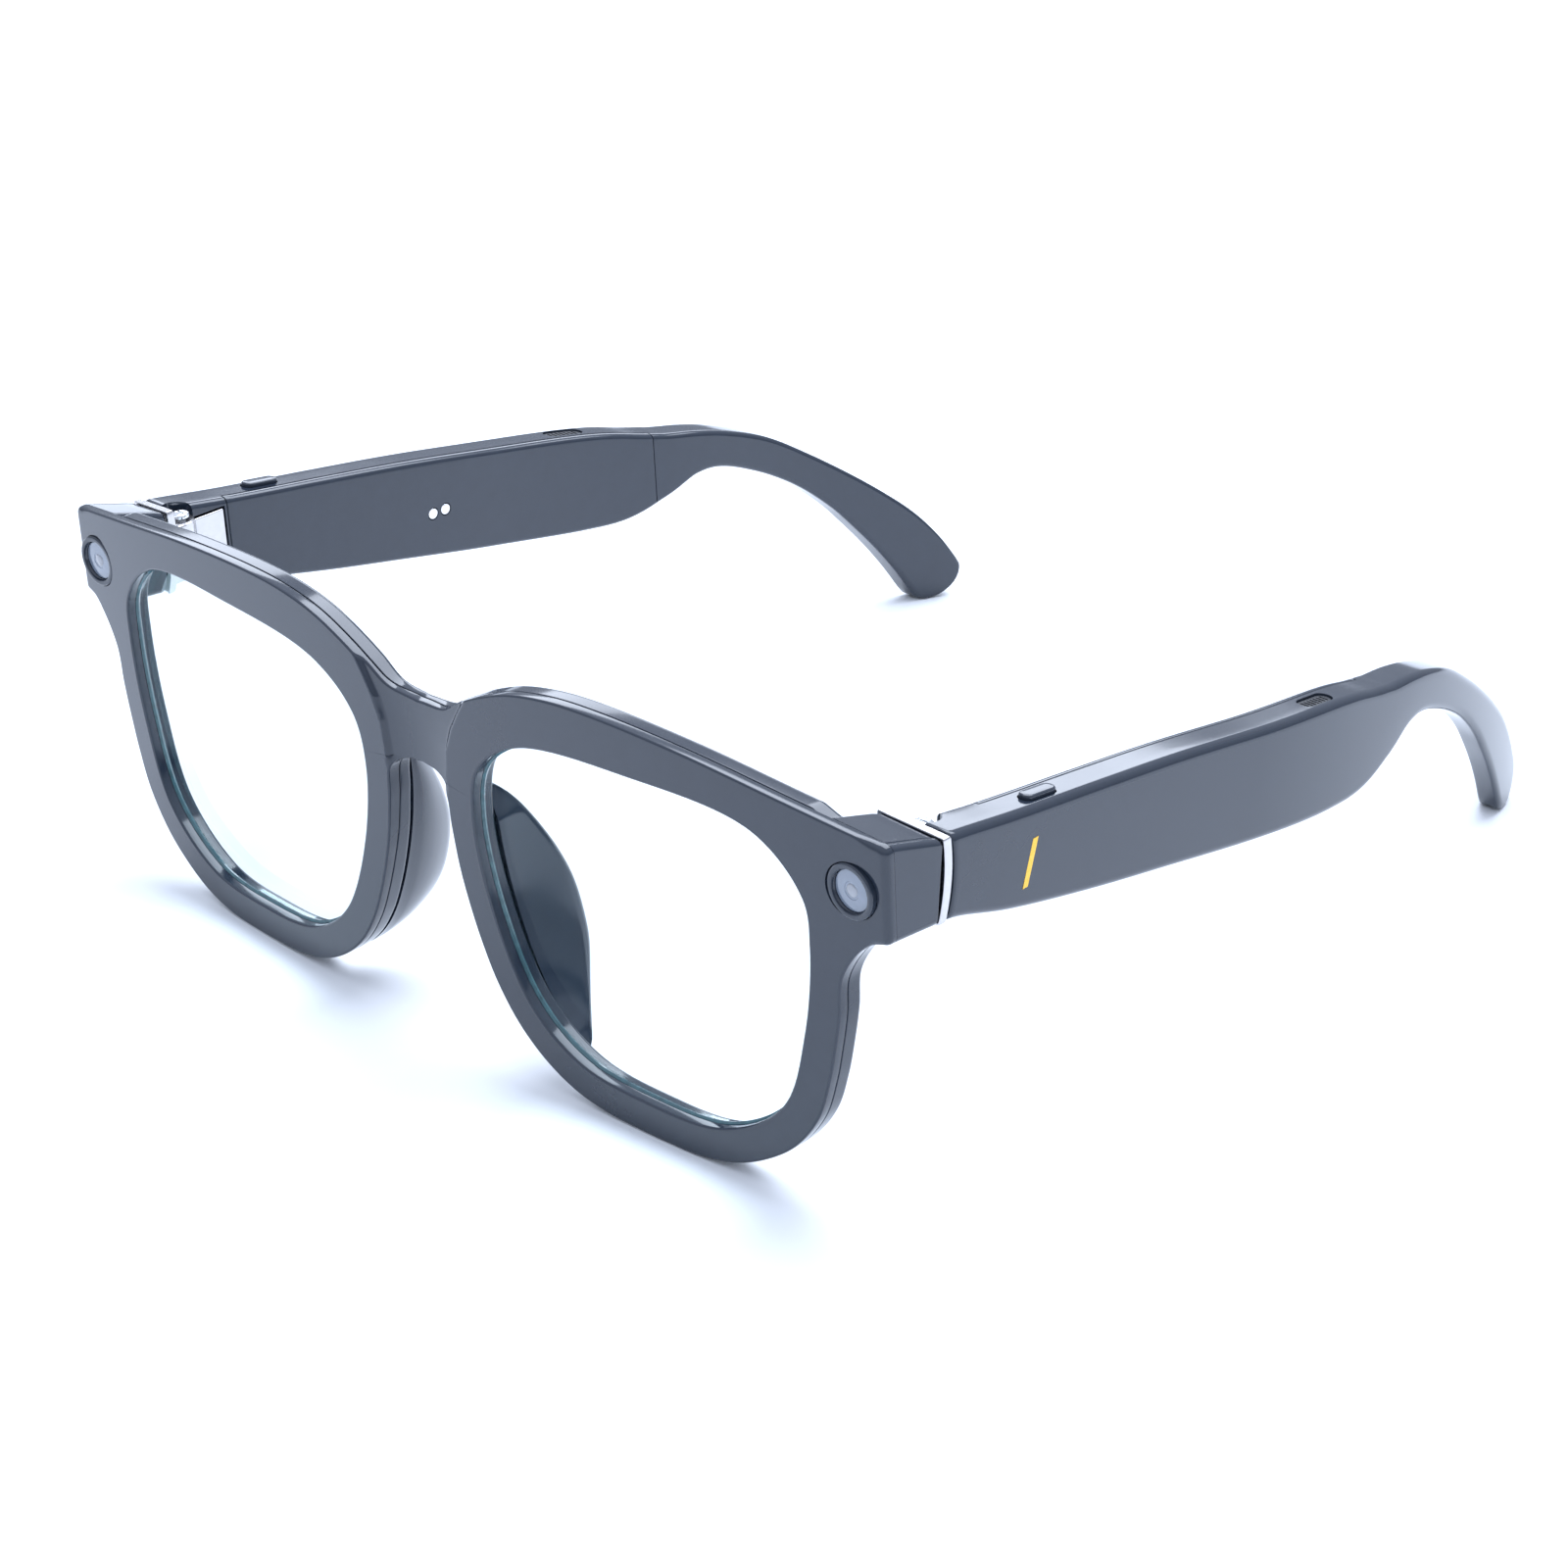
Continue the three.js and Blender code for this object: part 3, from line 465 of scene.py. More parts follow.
def resample(line, count, closed=False):
    """Points at even steps along a polyline: count of them, without the repeat if it closes."""
    run = np.concatenate([[0], np.cumsum(np.linalg.norm(np.diff(line[:, :2], axis=0), axis=1))])
    at = np.linspace(0, run[-1], count, endpoint=not closed)
    return np.stack([np.interp(at, run, line[:, k]) for k in range(line.shape[1])], 1)


def arc(centre, radius, start, end, count):
    """Points on a circle, angles in degrees."""
    turns = np.radians(np.linspace(start, end, count))
    return np.stack([centre[0] + radius * np.cos(turns), centre[1] + radius * np.sin(turns)], 1)


def circle(centre, radius, count):
    """Points all round a circle."""
    return arc(centre, radius, 0, 360, count + 1)[:-1]


def quarter(count):
    """The angles of a quarter turn."""
    return np.linspace(0, math.pi / 2, count)


LENS_FORM = [
    (0.50, 1.00), (0.16, 0.955), (0.03, 0.84), (0.00, 0.69), (0.035, 0.43), (0.14, 0.16), (0.285, 0.033),
    (0.50, 0.00), (0.73, 0.022), (0.905, 0.17), (0.975, 0.42), (1.00, 0.69), (0.985, 0.83), (0.86, 0.97),
]


def opening(count, grow=0.0):
    """The lens opening in (x, z), anticlockwise from its top, moved outwards by grow."""
    form = [(HALF_BRIDGE + u * LENS_WIDTH, RIM_WIDTH + v * LENS_HEIGHT) for u, v in LENS_FORM]
    line = catmull(form, count, closed=True)
    heading = np.roll(line, -1, 0) - np.roll(line, 1, 0)
    heading /= np.linalg.norm(heading, axis=1)[:, None]
    return line + grow * np.stack([heading[:, 1], -heading[:, 0]], 1)


INNER = opening(6000)
INNER_OUT = opening(6000, 1.0) - INNER


def half_outline(reach):
    """Outer outline of half a front, from under the bridge round to the top of the bridge, in even steps."""
    rim = opening(420, RIM_WIDTH)
    low = rim[rim[:, 1] < ENDPIECE_BOTTOM - 3.5]
    under = [(0, BRIDGE_TOP - BRIDGE_HEIGHT), (3, BRIDGE_TOP - BRIDGE_HEIGHT - 0.4),
             (5, BRIDGE_TOP - BRIDGE_HEIGHT - 1.6)]
    notch = [(HALF_WIDTH - 4.4, ENDPIECE_BOTTOM - 2.1), (HALF_WIDTH - 2.6, ENDPIECE_BOTTOM - 0.55)]
    corner = ENDPIECE_CORNER
    lower = catmull([*under, *low[6::12], *notch, (HALF_WIDTH - corner, ENDPIECE_BOTTOM)], 400)
    brow = catmull([
        (HALF_WIDTH - corner, ENDPIECE_TOP + 0.1), (HALF_WIDTH - 13, ENDPIECE_TOP + 1.7),
        (45.4, BROW_TOP - 0.7), (31.8, BROW_TOP), (24, BROW_TOP - 0.3), (17.8, BROW_TOP - 1.4),
        (13.1, BROW_TOP - 3.1),
        (8.6, BRIDGE_TOP + 2.7), (5.2, BRIDGE_TOP + 0.6), (0, BRIDGE_TOP),
    ], 300)
    side = np.vstack([
        arc((HALF_WIDTH - corner, ENDPIECE_BOTTOM + corner), corner, -90, 0, 8),
        arc((HALF_WIDTH - corner, ENDPIECE_TOP - corner), corner, 0, 88, 8),
    ])
    line = np.vstack([lower, side, brow])
    line[:, 0] = np.minimum(line[:, 0], reach)
    return resample(line, 460)


def rounded(depth, radius, count=5):
    """Inset and depth of a quarter round that turns a face's edge into its side."""
    return [(radius * (1 - math.sin(t)), depth + radius * (1 - math.cos(t))) for t in quarter(count)]


def crease_x(z):
    """Where each rim ends and the scooped bridge starts."""
    return np.interp(z, [33, 36, 41.1, 44, 46.7, 49], [5.3, 5.55, 6.1, 7.2, 8.8, 10.3])


def scoop(x, z):
    """How far the bridge lies behind the rims' front faces."""
    edge = crease_x(z)
    inside = np.clip((edge - np.abs(x)) / CREASE_ROUND, 0, 1)
    wall = inside * inside * (3 - 2 * inside) * SCOOP_WALL
    bowl = np.clip(1 - (np.abs(x) / edge) ** 2, 0, 1)
    fade = np.clip((z - 33.5) / 3.5, 0, 1)
    return (wall + (SCOOP_DEPTH - SCOOP_WALL) * bowl) * fade * fade * (3 - 2 * fade)


def seam_dip(x, z):
    """The seam between the shells follows the scoop more softly."""
    return (SCOOP_DEPTH - 0.2) * np.clip(1 - (np.abs(x) / 9) ** 2, 0, 1) ** 2


def flat(x, z):
    """No dip at all."""
    return np.zeros(len(np.atleast_1d(x)))


def front_plate(reach, front, back, front_round, back_round, front_dip, back_dip, widen=0.0, cut_down=0.0):
    """Half a plate round one lens opening, between two depths, ready to be mirrored.
    Each round is (at the opening, at the outline, at the outer corner), and each dip moves that face back near
    the bridge. The opening can be widened, and the top cut down over the endpiece."""
    outer = half_outline(reach)
    over_endpiece = (outer[:, 0] > 45) & (outer[:, 1] > ENDPIECE_TOP - 2)
    outer[over_endpiece, 1] -= cut_down * np.clip((outer[over_endpiece, 0] - 62) / 2.2, 0, 1)
    last = len(outer)
    middle = np.linspace(BRIDGE_TOP - 1.1, BRIDGE_TOP - BRIDGE_HEIGHT + 1.1, 16)
    outer = np.vstack([outer, np.stack([np.zeros(len(middle)), middle], 1)])
    nearest = np.array([np.argmin(((INNER - q) ** 2).sum(1)) for q in outer])
    inner, away = INNER[nearest] + widen * INNER_OUT[nearest], INNER_OUT[nearest]
    heading = np.gradient(outer[:last], axis=0)
    heading /= np.linalg.norm(heading, axis=1)[:, None]
    outwards = np.zeros_like(outer)
    outwards[:last] = np.stack([heading[:, 1], -heading[:, 0]], 1)
    outwards[0], outwards[last - 1] = (0, -1), (0, 1)
    free = np.zeros(len(outer))
    free[:last] = 1

    def sheet(build, depth, direction, rounds, dip, steps):
        corner = rounds[1] + (rounds[2] - rounds[1]) * np.clip((outer[:, 0] - HALF_WIDTH + 4) / 2, 0, 1)
        rows = []
        for inset, drop in reversed(rounded(0, rounds[0])):
            rows.append((inner + away * inset, drop))
        start, end = inner + away * rounds[0], outer - outwards * corner[:, None]
        for share in np.linspace(0, 1, steps)[1:-1]:
            rows.append((start + share * (end - start), 0))
        for inset, drop in rounded(0, 1, 7):
            rows.append((outer - outwards * (inset * corner)[:, None], drop * corner * free))
        made = []
        for place, drop in rows:
            y = depth + direction * drop + dip(place[:, 0], place[:, 1])
            made.append(build.row(np.stack([place[:, 0], y + sweep(place[:, 0]), place[:, 1]], 1)))
        return made

    build = Build()
    face = sheet(build, front, 1, front_round, front_dip, 64)
    rear = sheet(build, back, -1, back_round, back_dip, 12)
    for rows in (face, rear):
        for a, b in zip(rows, rows[1:]):
            build.strip(a, b)
    build.strip(face[0], rear[0])
    build.strip(face[-1][:last], rear[-1][:last], closed=False)
    return build


def rect_loop(x0, x1, z0, z1, radii, count=5):
    """A closed loop round a rectangle: radii at bottom right, top right, top left and bottom left."""
    corners = [((x1, z0), (-1, 1), -90), ((x1, z1), (-1, -1), 0), ((x0, z1), (1, -1), 90),
               ((x0, z0), (1, 1), 180)]
    return np.vstack([
        arc((x + sx * r, z + sz * r), r, start, start + 90, count)
        for ((x, z), (sx, sz), start), r in zip(corners, radii)
    ])


def bow(rise):
    """The leaning, bowed line of the endpiece's back edge, from its bottom to its top."""
    return PLATE_BULGE * 4 * rise * (1 - rise) - PLATE_LEAN * (1 - rise)


def brow_rise(x, share):
    """How much the endpiece's top climbs towards the brow, for a share of its height."""
    return np.clip(share, 0, 1) * np.clip(HALF_WIDTH - 1 - np.asarray(x), 0, 12) * BROW_CLIMB


def endpiece_block(build, x0, x1, front, radii, edge):
    """The part of an endpiece behind a shell's plate, between two x, with a rounded back edge."""
    def loop(inset, share, back):
        top_front, top_back = ENDPIECE_TOP, ENDPIECE_TOP - ENDPIECE_SLOPE * ENDPIECE_DEPTH
        bottom_front, bottom_back = ENDPIECE_BOTTOM, ENDPIECE_BOTTOM - ENDPIECE_DROP * ENDPIECE_DEPTH
        top = top_front + (top_back - top_front) * share - inset
        bottom = bottom_front + (bottom_back - bottom_front) * share + inset
        ring = rect_loop(x0 + inset, x1 - inset, bottom, top, [max(r - inset, 0.03) for r in radii], 6)
        rise = np.clip((ring[:, 1] - bottom_back) / (top_back - bottom_back), 0, 1)
        y = front + share * (ENDPIECE_DEPTH + bow(rise) - front) + back
        return np.stack([ring[:, 0], y + sweep(ring[:, 0]), ring[:, 1] + brow_rise(ring[:, 0], rise)], 1)

    rows = [loop(0, share, 0) for share in np.linspace(0, 1, 7)[:-1]]
    rows += [loop(inset, 1, drop - edge) for inset, drop in
             [(edge * (1 - math.cos(t)), edge * math.sin(t)) for t in quarter(5)]]
    build.tube(rows)


# ---------------------------------------------------------------- front
def add_front_shell():
    """The face of the rims, with the scooped bridge, the endpieces' outer wings and a hole for each eye."""
    plate = front_plate(HALF_WIDTH, 0, FRONT_DEPTH, (0.3, 0.28, 0.8), (0.05, 0.06, 0.06), scoop, seam_dip)
    outer_corner = [ENDPIECE_CORNER, ENDPIECE_CORNER, 0.05, 0.05]
    endpiece_block(plate, HALF_WIDTH - WING, HALF_WIDTH, FRONT_DEPTH, outer_corner, 0.18)
    shell = finished(plate.both(), "front_rim", "front", BLACK, replaces=["front_shell"])
    holes = []
    for side in (1, -1):
        hole = Build()
        hole.tube([[(side * (CAMERA_X + x), y + sweep(CAMERA_X), CAMERA_Z + z)
                    for x, z in circle((0, 0), BEZEL_RADIUS + 0.08, 64)] for y in (-2, FRONT_DEPTH + 1.5)])
        holes.append(hole)
    carve(shell, *holes)
    even_shading(shell)


def add_rear_shell():
    """The back of the rims, a little wider round the lenses, with the block that carries each hinge plate."""
    plate = front_plate(REAR_REACH, SEAM_BACK, RIM_BACK, (0.06, 0.1, 0.1), (0.5, 0.8, 0.3), seam_dip, flat,
                        widen=REAR_WIDEN, cut_down=REAR_CUT)
    endpiece_block(plate, REAR_REACH - REAR_BLOCK, REAR_REACH, SEAM_BACK, [0.15, 0.15, 0.9, 1.4], 0.3)
    shell = finished(plate.both(), "rear_rim", "front", BLACK, replaces=["rear_shell"])
    even_shading(shell)


def add_lenses():
    """Two bulged lenses, each with its ground bevel as a band of its own round the edge."""
    face, back = REAR_FACE + 0.1, REAR_FACE + 1.35
    centre = np.array([HALF_BRIDGE + LENS_WIDTH / 2, RIM_WIDTH + LENS_HEIGHT / 2])

    def ring(line, y, bulge):
        height = (line[:, 1] - centre[1]) / (LENS_HEIGHT / 2)
        return np.stack([line[:, 0], y + sweep(line[:, 0]) - bulge * (1 - height ** 2), line[:, 1]], 1)

    for side in ("left", "right"):
        build = Build()
        edge = opening(160, 0.38)
        shrinks = [0.04, *np.linspace(0.12, 1, 10)]
        rows = [ring(centre + (edge - centre) * s, face, 0.5) for s in shrinks]
        rows += [ring(centre + (edge - centre) * s, back, 0.5) for s in reversed(shrinks)]
        build.tube(rows, mark=0)
        band = [ring(opening(220, grow), y, 0.0) for grow, y in (
            (-0.22, 1.62), (-0.12, 1.9), (0.42, 2.3), (0.42, 1.38), (0.02, 1.36))]
        made = [build.row(r) for r in band]
        for a, b in zip(made, made[1:] + made[:1]):
            build.strip(a, b, mark=1)
        finished(build.on_side(side), f"clear_lens_{side}", "front", [LENS, LENS_EDGE],
                 replaces=[f"lens_{side}"])


def eye_lathe(build, profile, sign, mark):
    """A solid from (radius, depth) turned about the axis of the eye on one side."""
    build.tube([[(sign * (CAMERA_X + x), depth + sweep(CAMERA_X), CAMERA_Z + z)
                 for x, z in circle((0, 0), max(radius, 0.02), 64)] for radius, depth in profile], mark=mark)


def add_bezel(name, sign):
    """A gloss ring with a rounded lip and a step down to its window."""
    outer, inner, lip = BEZEL_RADIUS, WINDOW_RADIUS, 0.25
    bezel = Build()
    eye_lathe(bezel, [
        (inner + 0.02, 1.7), (outer - 0.05, 1.7), (outer, 1.6),
        *[(outer - lip * (1 - math.cos(t)), -0.1 - lip * math.sin(t)) for t in quarter(6)],
        (outer - 0.55, -0.35), (outer - 0.68, -0.3), (inner + 0.1, 0.02), (inner + 0.03, 0.1),
        (inner + 0.02, 0.2), (inner + 0.02, 1.7),
    ], sign, 0)
    even_shading(finished(bezel, f"{name}_ring", "front", BLACK, replaces=[f"{name}_bezel"]))


def add_window(name, sign):
    """A smoked disc with a small domed lens standing in a hole at its middle."""
    rim, optic = WINDOW_RADIUS - 0.02, 0.84
    glass = Build()
    eye_lathe(glass, [(0.02, 1.3), (rim, 1.3), (rim, 0.22), (WINDOW_RADIUS - 0.1, 0.16), (1.1, 0.1),
                      (1.05, 0.16), (0.86, 0.16)], sign, 0)
    dome = [(optic * math.cos(t), 0.18 - 0.2 * math.sin(t)) for t in quarter(9)]
    # The dome takes the optic material, whose pale grey is a painted highlight in place of the glint.
    eye_lathe(glass, [(0.02, 0.9), (optic, 0.9), *dome], sign, 1)
    finished(glass, f"{name}_glass", "front", [WINDOW, OPTIC], replaces=[f"{name}_window"])


def pad_loop(z, left, depth):
    """A nose pad's outline at one height, from the rim's nasal edge at left back to its soft ridge."""
    ridge = left + 0.3 * z / 27 * depth + 0.75
    width = PAD_THICKNESS * min(1.0, 0.35 + depth / 7)
    sunk = PAD_BASE - 0.24
    front = [(left, sunk), (left + 0.06, PAD_BASE + 0.05 * depth)]
    nose_side = [(left + (ridge - left) * s ** 1.6 - 0.35 * math.sin(math.pi * s) * min(1, depth / 6),
                  PAD_BASE + depth * s) for s in np.linspace(0.15, 0.9, 9)]
    crest = [(ridge + 0.15, PAD_BASE + depth * 0.97), (ridge + 0.5, PAD_BASE + depth),
             (ridge + 0.95, PAD_BASE + depth * 0.985)]
    lens_side = [(ridge + 1.25 + (left + width - ridge - 1.25) * s ** 0.8, PAD_BASE + depth * (0.95 - 0.93 * s))
                 for s in np.linspace(0.04, 1, 10)]
    return [(x, y + sweep(x), z) for x, y in [*front, *nose_side, *crest, *lens_side, (left + width, sunk)]]


def add_nose_pads():
    """Pads that grow out of the nasal side of each rim and splay backwards to a soft ridge."""
    profile = catmull(PAD_DEPTHS, 200)
    nasal = opening(900, RIM_WIDTH)
    nasal = nasal[nasal[:, 0] < HALF_BRIDGE + LENS_WIDTH / 2]
    nasal = nasal[np.argsort(nasal[:, 1])]
    for side in ("left", "right"):
        build = Build()
        build.tube([pad_loop(z, np.interp(z, nasal[:, 1], nasal[:, 0]) + 0.12,
                             np.interp(z, profile[:, 0], profile[:, 1]))
                    for z in np.linspace(PAD_DEPTHS[0][0] + 0.02, PAD_DEPTHS[-1][0] - 0.02, 64)])
        even_shading(finished(build.on_side(side), f"soft_edge_nose_pad_{side}", "front", BLACK,
                              crease=50, replaces=[f"nose_pad_{side}"]))


# ---------------------------------------------------------------- hinges
screw_low, screw_high = own_box("hinge_screw_left")
HINGE_X, HINGE_Y = ((screw_low + screw_high) / 2 - START)[:2]
HINGE_TOP = screw_high[2] - START[2] - 1.1
LEAF_LOW, LEAF_HIGH = (corner - START for corner in own_box("hinge_leaf_left"))
LEAF_FROM = HINGE_Y + KNUCKLE_RADIUS + LEAF_CLEARANCE
LEAF_FACE = HINGE_X - 0.13


def upright_lathe(build, profile):
    """A solid from (radius, height) turned about the hinge's axis."""
    build.tube([[(a, b, height) for a, b in circle((HINGE_X, HINGE_Y), max(radius, 0.02), 40)]
                for radius, height in profile])


def barrel(build, low, high, edge=0.15):
    """A hinge knuckle: a short tube with chamfered ends round the screw."""
    r, bore = KNUCKLE_RADIUS, SCREW_RADIUS + 0.1
    profile = [(bore, low), (r - edge, low), (r, low + edge), (r, high - edge), (r - edge, high), (bore, high)]
    made = [build.row([(a, b, height) for a, b in circle((HINGE_X, HINGE_Y), radius, 40)])
            for radius, height in profile]
    for a, b in zip(made, made[1:] + made[:1]):
        build.strip(a, b)


def soft_block(build, x, y, z, edge):
    """A block between three ranges with all its edges rounded."""
    rows = [(edge * (1 - math.sin(t)), z[0] + edge * (1 - math.cos(t))) for t in quarter(4)]
    rows += [(inset, z[1] + z[0] - height) for inset, height in reversed(rows)]
    build.tube([[(a, b, height) for a, b in
                 rect_loop(x[0] + inset, x[1] - inset, y[0] + inset, y[1] - inset, [edge - inset + 0.02] * 4)]
                for inset, height in rows])


def add_hinge_plate(side):
    """The bowed plate on the back of an endpiece, with its upper and lower knuckle."""
    build = Build()
    bottom = ENDPIECE_BOTTOM - ENDPIECE_DROP * PLATE_FACE
    top = ENDPIECE_TOP - ENDPIECE_SLOPE * PLATE_FACE
    rows = []
    for rise in [0, 0.004, 0.012, 0.03, *np.linspace(0, 1, 13)[1:-1], 0.97, 0.988, 0.996, 1]:
        inset = PLATE_EDGE - PLATE_EDGE * min(1, min(rise, 1 - rise) / 0.03) ** 0.5
        z = bottom + (top - bottom) * rise
        ring = rect_loop(HALF_WIDTH - BLOCK_WIDTH + inset, HALF_WIDTH - 0.02 - inset, PLATE_FACE + inset,
                         PLATE_BACK - inset, [0.16] * 4)
        rows.append([(x, y + bow(rise) + sweep(x), z + brow_rise(x, rise)) for x, y in ring])
    build.tube(rows)
    across, along = (HINGE_X - KNUCKLE_RADIUS, HINGE_X - 0.15), (PLATE_BACK + sweep(HINGE_X) - 1, HINGE_Y)
    soft_block(build, across, along, (HINGE_TOP - KNUCKLE, HINGE_TOP - 0.05), 0.35)
    soft_block(build, across, along, (HINGE_TOP - HINGE_HEIGHT + 0.05, HINGE_TOP - 2 * KNUCKLE), 0.35)
    barrel(build, HINGE_TOP - KNUCKLE + HINGE_GAP, HINGE_TOP)
    barrel(build, HINGE_TOP - HINGE_HEIGHT, HINGE_TOP - 2 * KNUCKLE - HINGE_GAP)
    even_shading(finished(build.on_side(side), f"hinge_bracket_{side}", "front", SILVER,
                          replaces=[f"hinge_plate_{side}"]))


def add_hinge_leaf(side):
    """The leaf let into the temple, with the middle knuckle."""
    build = Build()
    soft_block(build, (LEAF_FACE, LEAF_FACE + 1.8), (LEAF_FROM, LEAF_HIGH[1]),
               (LEAF_LOW[2], LEAF_HIGH[2]), 0.18)
    soft_block(build, (LEAF_FACE, LEAF_FACE + 1.7), (HINGE_Y + 0.6, LEAF_FROM + 0.5),
               (HINGE_TOP - 2 * KNUCKLE + 0.2, HINGE_TOP - KNUCKLE - 0.2), 0.15)
    barrel(build, HINGE_TOP - 2 * KNUCKLE + HINGE_GAP, HINGE_TOP - KNUCKLE - HINGE_GAP)
    even_shading(finished(build.on_side(side), f"hinge_tongue_{side}", f"temple_{side}", SILVER,
                          replaces=[f"hinge_leaf_{side}"]))


def add_screw(side):
    """The hinge screw, with a domed and slotted head."""
    build, slot = Build(), Build()
    head = HINGE_TOP + 0.3
    dome = [(SCREW_HEAD * math.cos(t), head + 0.4 + 0.4 * math.sin(t)) for t in quarter(8)]
    upright_lathe(build, [(0.02, HINGE_TOP - HINGE_HEIGHT), (SCREW_RADIUS, HINGE_TOP - HINGE_HEIGHT),
                          (SCREW_RADIUS, head), (SCREW_HEAD - 0.1, head), (SCREW_HEAD, head + 0.1), *dome])
    screw = finished(build.on_side(side), f"slotted_screw_{side}", "front", STEEL,
                     replaces=[f"hinge_screw_{side}"])
    slot.tube([[(HINGE_X + a, HINGE_Y + b, z) for a, b in ((-2, -0.16), (2, -0.16), (2, 0.16), (-2, 0.16))]
               for z in (head + 0.45, head + 2)])
    carve(screw, slot.on_side(side))
    even_shading(screw)


# ---------------------------------------------------------------- temples
def shaft_y(share):
    """The y at a share of the straight part of a temple."""
    return TEMPLE_FRONT + share * TEMPLE_SHAFT


TEMPLE_LINE = [
    (shaft_y(share), TEMPLE_CENTRE - fall, TEMPLE_HEIGHT + swell) for share, fall, swell in (
        (-0.06, -0.9, 0), (0.01, 0.1, 0), (0.11, 2.4, 1.4), (0.26, 5.2, 2.8), (0.41, 7.8, 3.6),
        (0.58, 10.9, 4.0), (0.75, 13.7, 3.9), (0.82, 14.7, 2.8), (0.885, 14.7, -0.2),
        (0.95, 14.3, -3.7), (1.0, 15.0, -5.0))
] + [
    (shaft_y(1) + back, TEMPLE_CENTRE - 15 - fall, width) for back, fall, width in (
        (7, 2.8, 5.4), (14.2, 7.3, 5.1), (20.5, 12.4, 5.8), (24.9, 16.7, 6.9), (29, 21.2, 7.9),
        (32.3, 25.7, 8.4), (34.9, 30.1, 8.5))
]
TEMPLE_PATH = catmull(TEMPLE_LINE, 500)
PATH_HEADING = np.gradient(TEMPLE_PATH[:, :2], axis=0)
PATH_HEADING /= np.linalg.norm(PATH_HEADING, axis=1)[:, None]
PATH_UP = np.stack([-PATH_HEADING[:, 1], PATH_HEADING[:, 0]], 1)
UPPER = TEMPLE_PATH[:, :2] + PATH_UP * TEMPLE_PATH[:, 2:] / 2
LOWER = TEMPLE_PATH[:, :2] - PATH_UP * TEMPLE_PATH[:, 2:] / 2
CURL_START = shaft_y(0.565)


def upper_edge(y):
    """The height of a temple's upper edge."""
    return np.interp(y, UPPER[:, 0], UPPER[:, 1])


def lower_edge(y):
    """The height of a temple's lower edge."""
    return np.interp(y, LOWER[:, 0], LOWER[:, 1])


def middle_and_half(y):
    """The height of a temple's middle, and half its own height."""
    return (upper_edge(y) + lower_edge(y)) / 2, (upper_edge(y) - lower_edge(y)) / 2


def on_temple(points):
    """(depth from the outer face, y, z) on the left temple to the glasses' own axes."""
    depth, y, z = np.asarray(points, float).T
    outer = HALF_WIDTH - TEMPLE_SPLAY * (y - TEMPLE_FRONT) - TIP_CURL * np.maximum(0, y - CURL_START) ** 2
    run = np.clip((y - shaft_y(0.88)) / (0.32 * TEMPLE_SHAFT), 0, 1)
    run = run * run * (3 - 2 * run)
    thickness = TEMPLE_THICKNESS + (TIP_THICKNESS - TEMPLE_THICKNESS) * run
    return np.stack([outer - depth * thickness / TEMPLE_THICKNESS, y, z], 1)


def section(half, depth_from, depth_to, outer_round, inner_round, crown):
    """A temple's cross-section as (depth, height): a rounded block with a slightly crowned outer face."""
    ro, ri = min(outer_round, half * 0.96), min(inner_round, half * 0.96)

    def swell(height):
        return crown * (height / half) ** 2

    outer = [(depth_from + swell(h), h) for h in np.linspace(-half + ro, half - ro, 9)]
    top_out = [(depth_from + ro - ro * math.cos(t) + swell(half - ro) * math.cos(t),
                half - ro + ro * math.sin(t))
               for t in quarter(8)[1:]]
    top_in = [(depth_to - ri + ri * math.sin(t), half - ri + ri * math.cos(t)) for t in quarter(7)]
    top = [(d, half) for d in np.linspace(depth_from + ro, depth_to - ri, 4)[1:-1]]
    inner = [(depth_to, h) for h in np.linspace(half - ri, -half + ri, 7)[1:-1]]
    bottom_in = [(d, -h) for d, h in reversed(top_in)]
    bottom = [(d, -half) for d, _ in reversed(top)]
    bottom_out = [(d, -h) for d, h in reversed(top_out)]
    return np.array([*outer, *top_out, *top, *top_in, *inner, *bottom_in, *bottom, *bottom_out])


def temple_front_y(z):
    """The bowed front end of a temple, following the endpiece."""
    rise = np.clip((z - lower_edge(BOW_AT)) / (upper_edge(BOW_AT) - lower_edge(BOW_AT)), 0, 1)
    return PLATE_BACK + SEAM + sweep(HALF_WIDTH) + bow(rise)


def upright_section(y, shape):
    """A section in the plane across the glasses at y."""
    middle, half = middle_and_half(y)
    loop = shape(half)
    return np.stack([loop[:, 0], np.full(len(loop), y), middle + loop[:, 1]], 1)


def whole(half):
    """A temple's full section."""
    return section(half, 0, TEMPLE_THICKNESS, 1.25, 0.9, 0.12)


def front_rows(seat_from):
    """The solid front of a temple, from its bowed end to where the cover starts."""
    rows = []
    for share in (0, 0.006, 0.02, 0.05, *np.linspace(0.1, 1, 12)):
        tuck = 0.22 * (1 - math.sqrt(max(0, 1 - max(0, 1 - share / 0.05) ** 2)))
        middle, tall = middle_and_half(ARM_START + (seat_from - ARM_START) * share)
        loop = whole(tall)
        centre, extent = np.array([TEMPLE_THICKNESS / 2, 0]), np.array([TEMPLE_THICKNESS / 2, tall])
        loop = centre + (loop - centre) * (1 - tuck / extent)
        front = temple_front_y(middle + loop[:, 1])
        y = front + (seat_from - front) * share
        here, half = middle_and_half(y)
        rows.append(np.stack([loop[:, 0], y, here + loop[:, 1] * half / tall], 1))
    return rows


